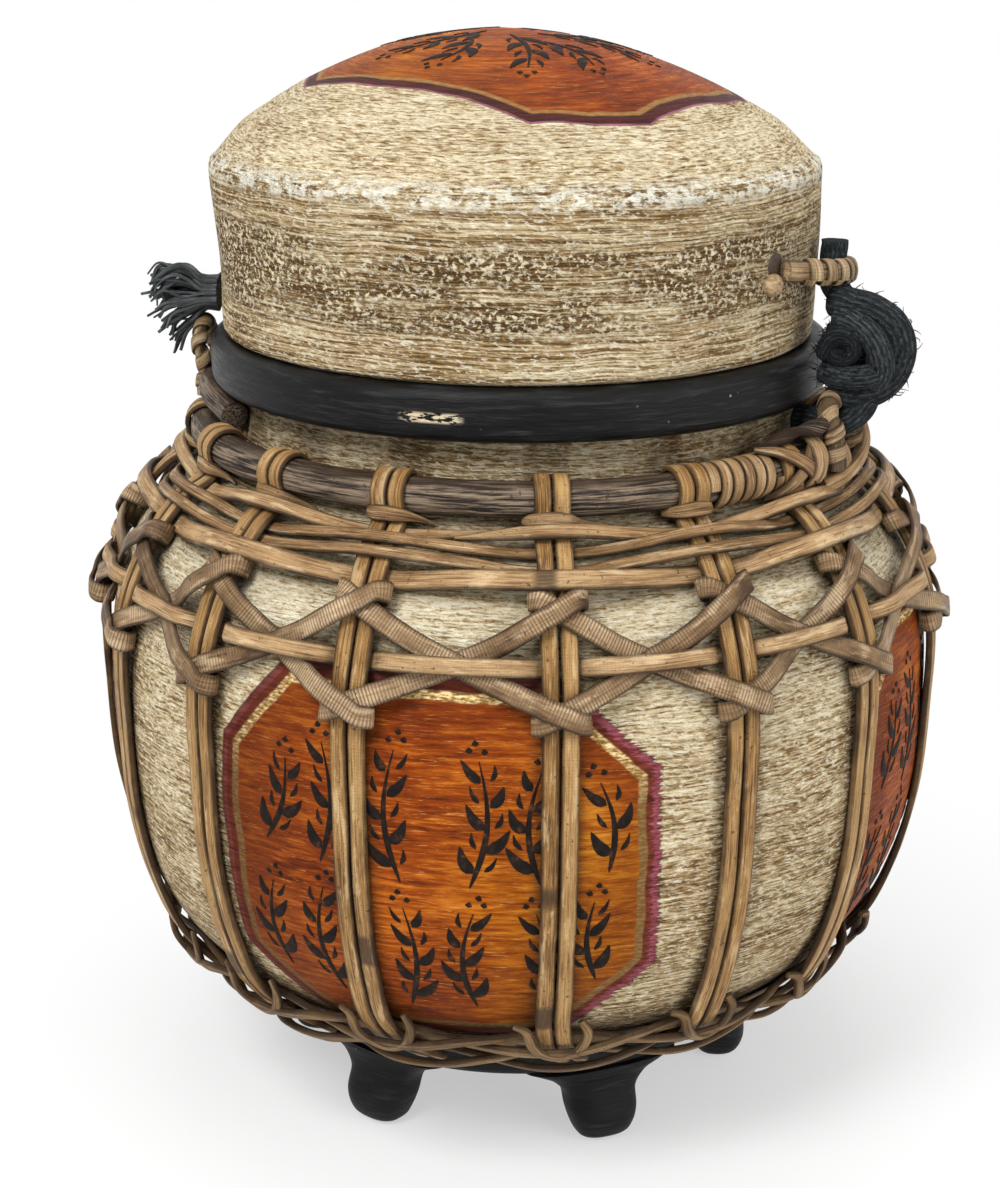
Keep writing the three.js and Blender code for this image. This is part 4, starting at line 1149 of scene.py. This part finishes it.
def make_uprights():
    """Each upright is one cane: up the pot, over the neck hoop, round and down again beside itself."""
    for k, angle in enumerate(UPRIGHTS):
        legs = []
        for hand in (-1, 1):
            line, wide, out, thick = upright_leg(angle, hand * STAKE_SPACING / 2)
            legs.append((line, wide, out * thick / 2))
            if hand < 0:
                LEG_LINES.append((line, out, angle))
        (left, _, left_thick), (right, _, right_thick) = legs
        behind = (left[-1] + right[-1]) / 2 - UP * 3 - outward(angle) * 0.7
        bend = smooth([left[-1], behind, right[-1]], 0.8)
        share = np.linspace(0, 1, len(bend))[:, None]
        wide = np.ones((len(bend), 1)) * UP * STAKE_WIDTH / 2
        turn = (bend, wide, left_thick[-1] * (1 - share) + right_thick[-1] * share)
        number = f"{k + 1:02d}"
        cane(f"upright_cane_{number}", legs + [turn], "cane", f"upright_{number}",
             sides=14, corner=0.55, uneven=0.14, seed=2.0 + k * 0.37)


def one_turn(rows, step, lean=0.0):
    """Smoothed rows cut to one whole turn round the pot."""
    rows = smooth(rows, step)
    last = (upright_at(10) + lean) * BELLY
    return lay(rows[(rows[:, 0] >= last - TURN * BELLY) & (rows[:, 0] <= last)], step)


SPAN = range(-8, 13)


def woven_hoop(share, width, first, rise, thickness, wander, seed):
    """A hoop that runs in front of every second upright and behind the others."""
    height = height_of(share) + rise
    swing = np.random.default_rng(seed).normal(size=64) * wander
    rows = []
    for k in SPAN:
        off = OUTSIDE if (k + first) % 2 else INSIDE
        level = height + swing[k % COUNT]
        rows += [row(upright_at(k), side, level, off, width, thickness) for side in (-PLATEAU, PLATEAU)]
        rows.append(row(middle_after(k), 0, height + swing[COUNT + k % COUNT], BETWEEN, width, thickness))
    return one_turn(rows, 2.5)


def make_top_hoop():
    """The open strip at the top, whose tapered ends pass each other."""
    start, whole, base = math.radians(-9.5), TURN + math.radians(5), height_of(0.8635)
    rows = [[0, BETWEEN], [whole, BETWEEN]]
    for k in range(-1, 20):
        for across in (-PLATEAU, PLATEAU):
            travel = upright_at(k) - start + across / pot_radius(base)
            if 0.02 < travel < whole - 0.02:
                rows.append([travel, OUTSIDE if (k + 1) % 2 else INSIDE])
        travel = middle_after(k) - start
        if 0.1 < travel < whole - 0.1:
            rows.append([travel, BETWEEN])
    spread = []
    for travel, off in sorted(rows):
        near = min(1, min(travel, whole - travel) / math.radians(11))
        height = base + 1.5 * (travel / whole - 0.5) + 0.5 * math.sin(travel * 3)
        spread.append([(start + travel) * BELLY, height, off, 1.2 + 3.9 * near, 1.2 + near, 0])
    cane("shoulder_cane_1", [lay(spread, 2.2)], "hoop", "shoulder_hoop_1", sides=12, uneven=0.2, seed=11.0)


def make_hoops():
    make_top_hoop()
    pair = [woven_hoop(0.8425, 4.0, 0, rise, 2.1, 0.22, 5 + i) for i, rise in enumerate((1.9, -1.9))]
    cane("shoulder_canes_2", pair, "hoop", "shoulder_hoop_2", sides=12, uneven=0.16, seed=12.0)
    third = woven_hoop(0.815, 6.8, 1, 0, 2.3, 0.3, 9)
    cane("shoulder_cane_3", [third], "hoop", "shoulder_hoop_3", sides=14, uneven=0.12, seed=13.0)
    height, free, clear = height_of(0.7155), 5.8, PLATEAU + 3.8
    rows = []
    for k in SPAN:
        for across, off in ((-clear, free), (-PLATEAU, INSIDE), (PLATEAU, INSIDE), (clear, free)):
            rows.append(row(upright_at(k), across, height, off, 5.8, HOOP_THICK))
        rows.append(row(middle_after(k), 0, height, free, 5.8, HOOP_THICK))
    cane("belt_cane", [one_turn(rows, 2.5)], "hoop", "belt_hoop", sides=14, uneven=0.12, seed=14.0)


def steepness(height):
    """How much a step along the pot's wall rises."""
    return 1 / math.hypot(1, (pot_radius(height + 3) - pot_radius(height - 3)) / 6)


def make_zigzags():
    """Strips that rise and fall across the belt, each folded round the back of an upright."""
    cross, high_fold, low_fold = height_of(0.719), 210.2, 184.2
    reach, width, thick = PAIR + 0.65 + 0.8, 7.0, 1.5
    under = FRONT + LIFT + SEAT + thick / 2
    over = under + 1.85
    for first, name in ((0, "a"), (1, "b")):
        low = 0.8 + 0.65 + first * 1.9
        paths = []
        for k in range(COUNT):
            a = upright_at(k)
            top = (k + first) % 2 == 0
            hand, height = (1, high_fold) if top else (-1, low_fold)
            lift, radius = steepness(height), pot_radius(height)
            climb = abs(height - cross) / lift
            rise_in = climb / ((a - middle_after(k - 1)) * radius)
            rise_out = climb / ((middle_after(k) - a) * radius)
            fold = reach * (rise_in + rise_out) / 2

            def at(across, level, off, roll=0.0):
                return row(a, across, height + level * hand * lift, off, width, thick, roll)

            rows = [row(middle_after(k - 1), 0, cross, low, width, thick)]
            rows += [at(s, s * rise_in, off) for s, off in (
                (-reach - 9, over * 0.42 + low * 0.58), (-reach - 3, over * 0.86), (-reach + 2, over),
                (0, over + 0.1), (reach - 1.6, over),
            )]
            rows += [at(s, fold, off, roll) for s, off, roll in (
                (reach + 1.1, over * 0.56 + 0.8, 90), (reach - 1.6, 1.35, 180), (0, 1.3, 180),
                (-reach + 1.6, 1.35, 180), (-reach - 1.1, under * 0.56 + 0.8, 270),
            )]
            rows += [at(s, -s * rise_out, off, 360) for s, off in (
                (-reach + 1.6, under), (0, under), (reach - 1.5, under), (reach + 3, under * 0.86),
                (reach + 9, under * 0.42 + low * 0.58),
            )]
            rows.append(row(middle_after(k), 0, cross, low, width, thick, 360))
            paths.append(lay(rows, 1.3))
        cane(f"zigzag_cane_{name}", paths, "brown", f"zigzag_{name}", slot="brown_cane",
             sides=12, corner=0.6, uneven=0.06, seed=15.0 + first)


def make_base_strands():
    """Two pairs of strands twined round the foot of the cage, over a thin lining strip."""
    thick, reach = 2.5, PAIR + 2.15
    inside, outside = HOOP_GAP + thick / 2, FRONT + LIFT + SEAT + thick / 2
    number = 0
    for share, width, swing, lean in ((0.1, 4.4, 3.1, 2), (0.045, 5.6, 3.9, 6.6)):
        height = height_of(share)
        lean /= pot_radius(height)
        for hand in (0, 1):
            rows = []
            for k in SPAN:
                side, off = (1, outside) if (k + hand) % 2 == 0 else (-1, inside)
                rows += [row(upright_at(k) + lean, s, height, off, width, thick) for s in (-reach, reach)]
                rows.append(row(middle_after(k) + lean, 0, height + side * swing * steepness(height),
                                (inside + outside) / 2 + side * 0.8, width, thick))
            number += 1
            cane(f"base_cane_{number}", [one_turn(rows, 2.2, lean)], "rough", f"base_strand_{number}",
                 slot="brown_cane", sides=12, corner=0.75, uneven=0.22, seed=20.0 + number)
    rows = [[t * BELLY, height_of(0.072), 1.0, 11.0, 0.9, 0] for t in np.radians(np.arange(0, 361, 2.0))]
    cane("base_lining", [lay(rows, 4.0)], "rough", slot="brown_cane",
         sides=12, corner=0.7, uneven=0.1, seed=26.0)


def make_winding():
    """Straw strip bound over the joint of the neck hoop."""
    turns, pitch, steps = 6, 4.5, 40
    i = np.arange(turns * steps + 1) / steps
    angle = (UPRIGHTS[3] + UPRIGHTS[4]) / 2 + pitch * (i - turns / 2) / NECK_HOOP_R
    roll = TURN * i[:, None]
    out = outward(angle) * np.cos(roll) + UP * np.sin(roll)
    point = polar(angle, NECK_HOOP_R, NECK_HOOP_Z) + out * (NECK_HOOP_TUBE + 1.1)
    cane("neck_hoop_binding", [(point, sideways(angle) * 2.15, out * 0.65)], "hoop", "hoop_winding",
         sides=12, corner=0.6, uneven=0.1, seed=30.0)


def on_line(line, run, s):
    return np.stack([np.interp(s, run, line[:, i]) for i in range(3)], -1)


def wound_band(line, radius, pitch=6.4, width=4.9, thickness=0.9, steps=26):
    """A strip wound round a line from close to one end to close to the other."""
    a, c = carried_frame(line)
    run = run_along(line)
    first, last = run[-1] * 0.02, run[-1] * 0.98
    s = np.linspace(first, last, int((last - first) / pitch * steps) + 1)
    roll = (TURN * (s - first) / pitch)[:, None]
    centre = on_line(line, run, s)
    out = unit(on_line(a, run, s)) * np.cos(roll) + unit(on_line(c, run, s)) * np.sin(roll)
    return centre + out * radius, unit(np.gradient(centre, axis=0)) * width / 2, out * thickness / 2


def make_bails():
    """Bent canes that take the cords: leg, waist and top reach out from the hoop, foot and rise up."""
    for i, (name, degrees, leg, waist, top, foot, rise, thick) in enumerate((
        ("right", 64.5, 9.4, 8.5, 6.0, -3, 19.4, 3.1), ("left", 262.7, 2.4, 1.6, 3.4, 6.5, 31.0, 2.3),
    )):
        angle = math.radians(degrees)
        half = [(-8.8, leg, foot), (-8.8, leg, foot + 3), (-8.8, waist, rise * 0.5), (-8.8, top, rise * 0.8)]
        rows = half + [(0, top, rise)] + [(-s, r, z) for s, r, z in half[::-1]]
        line = smooth([polar(angle, NECK_HOOP_R + r, NECK_HOOP_Z + z) + sideways(angle) * s
                       for s, r, z in rows], 1.2)
        cane(f"bail_cane_{name}", [rod(line, thick), wound_band(line, thick + 0.25)], "aged", f"bail_{name}",
             sides=16, corner=0.9, uneven=0.08, seed=32.0 + i)


def on_hoop(degrees, roll, off):
    """Point at a stand-off from the neck hoop's surface, with its outward direction."""
    angle, turn = math.radians(degrees), math.radians(roll)
    out = outward(angle) * math.cos(turn) + UP * math.sin(turn)
    return polar(angle, NECK_HOOP_R, NECK_HOOP_Z) + out * (NECK_HOOP_TUBE + off), out


def make_lashings():
    """Crossed strips that bind the right bail to the neck hoop, a dark tie over them and a cane's end."""
    paths = []
    for rows in (
        ((43.5, -60, 2.2), (46, -35, 3.0), (50, 0, 3.6), (54, 35, 3.6), (58, 62, 3.2), (61, 95, 2.6)),
        ((43.5, 95, 2.4), (46, 60, 3.2), (50, 22, 4.4), (54, -12, 4.4), (58.5, -42, 3.4), (62, -75, 2.4)),
        ((52, -95, 2.0), (52.4, -50, 3.2), (53.4, 0, 5.2), (55, 45, 4.4), (56.5, 80, 3.2), (57.5, 120, 2.2)),
        ((57.5, 100, 2.8), (57, 60, 3.6), (56, 20, 4.6), (55, -25, 4.4), (54.6, -70, 3.0)),
        ((59.5, 110, 2.4), (60, 70, 4.2), (61.2, 30, 6.2), (63, -10, 6.6), (64.6, -50, 5.0)),
    ):
        dense = smooth([np.hstack(on_hoop(*r)) for r in rows], 1.2)
        paths.append(frame_path(dense[:, :3], dense[:, 3:6], 5.4, 1.3))
    cane("bail_lashing", paths, "hoop", sides=12, corner=0.6, uneven=0.15, seed=33.0)
    line = smooth([on_hoop(*r)[0] for r in (
        (44, 120, 1.8), (48, 96, 3.2), (52, 80, 5.6), (56, 66, 7.2), (60, 58, 8.2), (63, 50, 8.4),
    )], 1.2)
    a, c = carried_frame(line)
    size = np.interp(np.linspace(0, 1, len(line)), [0, 0.3, 0.75, 1], [1.1, 2.3, 3.0, 1.8])[:, None]
    twist = np.linspace(0, 9, len(line))[:, None]
    cos, sin = np.cos(twist), np.sin(twist)
    tie = (line, (a * cos + c * sin) * size, (c * cos - a * sin) * size * 0.62)
    cane("bail_dark_tie", [tie], "dark", slot="dark_cane", sides=14, corner=0.8, uneven=0.2, seed=33.5)
    line = polar_line((
        (57.5, 116.5, 233.5), (62, 119.5, 235.5), (67, 121.5, 239.5), (71, 121, 245), (73, 118.5, 250),
    ), 1.2)
    cane("cane_end", [rod(line, 3.3, 2.7)], "hoop", sides=14, corner=0.9, uneven=0.12, seed=33.8)


def oval_band(line, share, width, count=29):
    """One flat band round an oval strap at a share of its length."""
    run = run_along(line)
    centre = on_line(line, run, run[-1] * share)
    along = unit(on_line(line, run, run[-1] * share + 1) - centre)
    out = unit(np.cross(along, UP))
    roll = (np.linspace(0, TURN, count) + 2.2)[:, None]
    cos, sin = np.cos(roll), np.sin(roll)
    normal = unit(UP * cos * 2.5 + out * sin * 4.0)
    lean = along * (np.linspace(-0.25, 0.25, count) * width)[:, None]
    point = centre + UP * cos * 4.0 + out * sin * 2.5 + lean
    return point, np.ones((count, 1)) * along * width / 2, normal * 0.45


def make_lid_loops():
    """Strap loops on the lid's side, bound with flat bands."""
    rise = 26
    base = LID_BOTTOM_R + (LID_CREASE_R - LID_BOTTOM_R) * rise / LID_SIDE + SEAT + 2.6
    for which, (name, centre) in enumerate((("right", 70), ("left", 234))):
        rows = []
        for i, share in enumerate((0, 0.26, 0.68, 0.95, 1, 0.95, 0.68, 0.26, 0)):
            slope = 0 if which else 3.2 - 0.9 * i
            rows.append((centre + 4 * i - 16, base + 9.4 * share, LID_BOTTOM + rise + slope))
        line = lid_shape(polar_line(rows, 1.2))
        out = outward(np.arctan2(line[:, 0], -line[:, 1]))
        strap = (line, np.ones((len(line), 1)) * UP * 3.6, out * 2.1)
        bands = [oval_band(line, begin, 5.4) for begin in np.arange(0.16, 0.84, 0.098)]
        cane(f"lid_strap_{name}", [strap] + bands, "aged", f"lid_loop_{name}", body="lid",
             sides=14, corner=0.75, uneven=0.08, seed=35.0 + which)


make_neck_hoop()
make_uprights()
make_hoops()
make_zigzags()
make_base_strands()
make_winding()
make_bails()
make_lashings()
make_lid_loops()


# Small ties, brushwork and the peg


def make_neck_ties():
    """Pale strip across each upright just under the neck hoop, with a tail that runs off to the right."""
    paths = []
    rng = np.random.default_rng(21)
    for line, out, angle in LEG_LINES:
        near = int(np.argmax(line[:, 2] > 236.0 + rng.normal() * 0.3))
        side, normal = sideways(angle), out[near]
        along = unit(line[near + 1] - line[near - 1])
        centre = line[near] + side * STAKE_SPACING / 2
        rows = []
        for s, u, off, width, thick, roll in (
            (-8.6, -0.8, -3.6, 2.2, 1.0, -70), (-7.2, -0.3, -0.8, 3.6, 1.2, -45),
            (-5.2, 0, 1.5, 4.6, 1.3, -14), (0, 0.2, 2.1, 5.0, 1.3, 0), (5.2, -0.2, 1.6, 4.4, 1.3, 14),
            (7.4, -0.9, -0.6, 3.2, 1.1, 40), (9.6, -1.7, -2.6, 2.2, 0.9, 30),
            (13 + 5 * rng.random(), -3.2, -3.6, 0.9, 0.6, 10),
        ):
            turn = math.radians(roll)
            face = normal * math.cos(turn) + side * math.sin(turn)
            rows.append([*(centre + side * s + along * u + normal * off), *face, width, thick])
        dense = smooth(rows, 1.1)
        paths.append(frame_path(dense[:, :3], dense[:, 3:6], dense[:, 6], dense[:, 7]))
    cane("neck_ties", paths, "hoop", sides=12, corner=0.6, uneven=0.15, seed=40.0)


def make_base_loops():
    """Thin strand that dips round the foot of each upright: sideways, height, stand-off, width, thickness."""
    off = FRONT + 1.3
    shape = (
        (-12, 74.6, 3.4, 2.8, 2.0), (-8.2, 74.2, 5.2, 3.4, 2.3), (-6.4, 71.0, off + 0.6, 3.8, 2.4),
        (-1.5, 66.2, off + 1.6, 4.0, 2.4), (4.5, 65.2, off + 1.6, 4.0, 2.4), (9.8, 68.0, off, 3.8, 2.3),
        (11.4, 72.0, 4.8, 3.4, 2.1), (9.4, 75.0, 2.4, 2.8, 1.8),
    )
    paths = [lay([row(angle, *rest) for rest in shape], 1.0) for angle in UPRIGHTS]
    cane("base_loops", paths, "rough", slot="brown_cane", sides=12, corner=0.85, uneven=0.2, seed=41.0)


def stroke(points, width, place, lean=0.28):
    """A brush stroke from flat points: thin at both ends, laid on a surface by place()."""
    rows = smooth([[u, v, 0] for u, v in points], 1.4)
    turn = np.linspace(0, math.pi, len(rows))
    body = np.clip(np.sin(turn), 0, 1) ** 0.45 * (1 - lean + lean * np.cos(turn))
    point, normal = place(rows[:, 0], rows[:, 1])
    return frame_path(point, normal, np.maximum(width * body, 0.3), 0.34)


def sprig(place, root, turn, long, bow, leaves, first):
    """A bowed stem with leaves to both sides and a bud of three dots at its tip, as flat strokes."""
    cos, sin = math.cos(turn), math.sin(turn)

    def at(along, across):
        swing = across + bow * math.sin(along / long * math.pi)
        return root[0] + along * cos - swing * sin, root[1] + along * sin + swing * cos

    strokes = [([at(long * s, 0) for s in np.linspace(0, 1, 7)], 2.4)]
    for i in range(leaves):
        along = long * (i + 0.7) / (leaves + 0.6)
        side = -first if i % 2 else first
        size = 1.0 - 0.3 * i / leaves
        leaf = [at(along, side)]
        leaf += [at(along + u * size, v * side * size) for u, v in ((3.4, 4.8), (8.6, 7.4))]
        hair = [at(along + u, -side * v) for u, v in ((1, 2.4), (3, 4.0), (6, 4.6))]
        strokes += [(leaf, 5.2 * size), (hair, 2.1)]
    for da, ds in ((3.2, -2.4), (5.6, 0), (3.2, 2.4)):
        strokes.append(([at(long + da + s, ds) for s in (-0.9, 0, 0.9)], 2.8))
    return [stroke(points, width, place) for points, width in strokes]


def make_panel_sprigs():
    """Twelve sprigs in pairs, one above the other, on each of the four panels."""
    paths = []
    for panel in range(4):
        turn = math.radians(PANEL_TURN + 90 * panel)

        def place(u, v):
            point, normal, _ = on_pot(turn + u / BELLY, v, 0.02)
            return POT_RIPPLE(point) + normal * 0.1, normal

        for i, (u, v, degrees, long, bow, leaves) in enumerate((
            (-55, 86, 90, 33, 3, 4), (-56, 134, 74, 30, -3, 4), (-35, 80, 91, 41, 4, 5),
            (-36, 130, 88, 40, -4, 5), (-10, 78, 88, 40, -4, 5), (-9, 127, 92, 44, 4, 5),
            (14, 80, 90, 38, 4, 5), (13, 127, 86, 42, -4, 5), (35, 82, 92, 36, -3, 4),
            (35, 128, 90, 38, 4, 5), (54, 92, 94, 30, 3, 4), (56, 132, 96, 30, -3, 3),
        )):
            paths += sprig(place, (u, v), math.radians(degrees), long, bow, leaves, 1 if i % 2 else -1)
    cane("panel_sprigs", paths, "ink", slot="pot_wash", sides=6, corner=0.8, uneven=0.3, seed=50.0)


def make_lid_sprigs():
    """Ten sprigs, long and short in turn, that spread from the middle of the lid's panel."""
    line = lid_line()
    reach, rise = line[np.argmax(line[:, 0]):np.argmax(line[:, 1]) + 1][::-1].T

    def place(u, v):
        radius = np.maximum(np.hypot(u, v), 1e-6)
        slope = (np.interp(radius + 2, reach, rise) - np.interp(np.maximum(radius - 2, 0), reach, rise)) / 4
        normal = unit(np.stack([-slope * u / radius, -slope * v / radius, np.ones_like(u)], -1))
        return lid_shape(np.stack([u, v, np.interp(radius, reach, rise)], -1)) + normal * 0.14, normal

    paths = []
    for i in range(10):
        turn = TURN * i / 10 + 0.2
        inner, long, leaves, first = (9, 34, 4, 1) if i % 2 else (20, 22, 3, -1)
        root = (4 + inner * math.cos(turn), -6 + inner * math.sin(turn))
        paths += sprig(place, root, turn + 0.25, long, 3, leaves, first)
    cane("lid_sprigs", paths, "ink", body="lid", slot="lid_wash", sides=6, corner=0.8, uneven=0.3, seed=51.0)


def make_lid_peg():
    """Small peg end and the mouth it sits in, where the right strap leaves the lid; the mouth is a dark patch
    of painted shade.
    """
    for name, look, slot, degrees, height, half_wide, half_tall, out, deep in (
        ("strap_mouth", "hole", "lid_wash", 53.0, LID_BOTTOM + 31.6, 4.4, 4.2, 0.05, 0.7),
        ("strap_peg", "knob", "pale_cane", 52.0, LID_BOTTOM + 25.0, 4.4, 3.7, 0.4, 3.4),
    ):
        angle = math.radians(degrees)
        axes = np.array([sideways(angle) * half_wide, -outward(angle) * deep, UP * half_tall])
        work = bmesh.new()
        bmesh.ops.create_uvsphere(work, u_segments=28, v_segments=16, radius=1)
        for v in work.verts:
            place = polar(angle, 103.0 + out, height) + np.array(v.co) @ axes
            v.co = Vector(lid_shape(place[None, :])[0] * MM)
        mesh = bpy.data.meshes.new(name)
        work.to_mesh(mesh)
        work.free()
        put(link(name, mesh, LOOK[look]), "lid", slot)


make_neck_ties()
make_base_loops()
make_panel_sprigs()
make_lid_sprigs()
make_lid_peg()


# Floor and light


def set_stage():
    """Pale floor, even white surroundings and three soft lamps."""
    work = bmesh.new()
    bmesh.ops.create_circle(work, cap_ends=True, segments=96, radius=6)
    mesh = bpy.data.meshes.new("floor")
    work.to_mesh(mesh)
    work.free()
    floor = link("floor", mesh, floor_look(), False)
    floor.location.z = -0.0004
    world = bpy.data.worlds.new("pale_room")
    bpy.context.scene.world = world
    world.use_nodes = True
    b = Board(world.node_tree)
    soft = world.node_tree.nodes["Background"]
    soft.inputs["Color"].default_value = (1, 1, 1, 1)
    soft.inputs["Strength"].default_value = 0.45
    whiten(b, seen(b), soft.outputs[0], "OUTPUT_WORLD")
    for name, place, size, power in (
        ("key", (-0.7, -1.2, 1.6), 0.7, 32), ("fill", (1.3, -1.1, 0.8), 1.2, 13),
        ("top", (0.0, 0.1, 2.0), 1.0, 12),
    ):
        data = bpy.data.lights.new(name, "AREA")
        data.energy, data.size = power, size
        lamp = bpy.data.objects.new(name, data)
        lamp.location = place
        aim = Vector((0, 0, 0.18)) - Vector(place)
        lamp.rotation_euler = aim.to_track_quat("-Z", "Y").to_euler()
        bpy.context.scene.collection.objects.link(lamp)
    bpy.context.scene.view_settings.view_transform = "Standard"


set_stage()
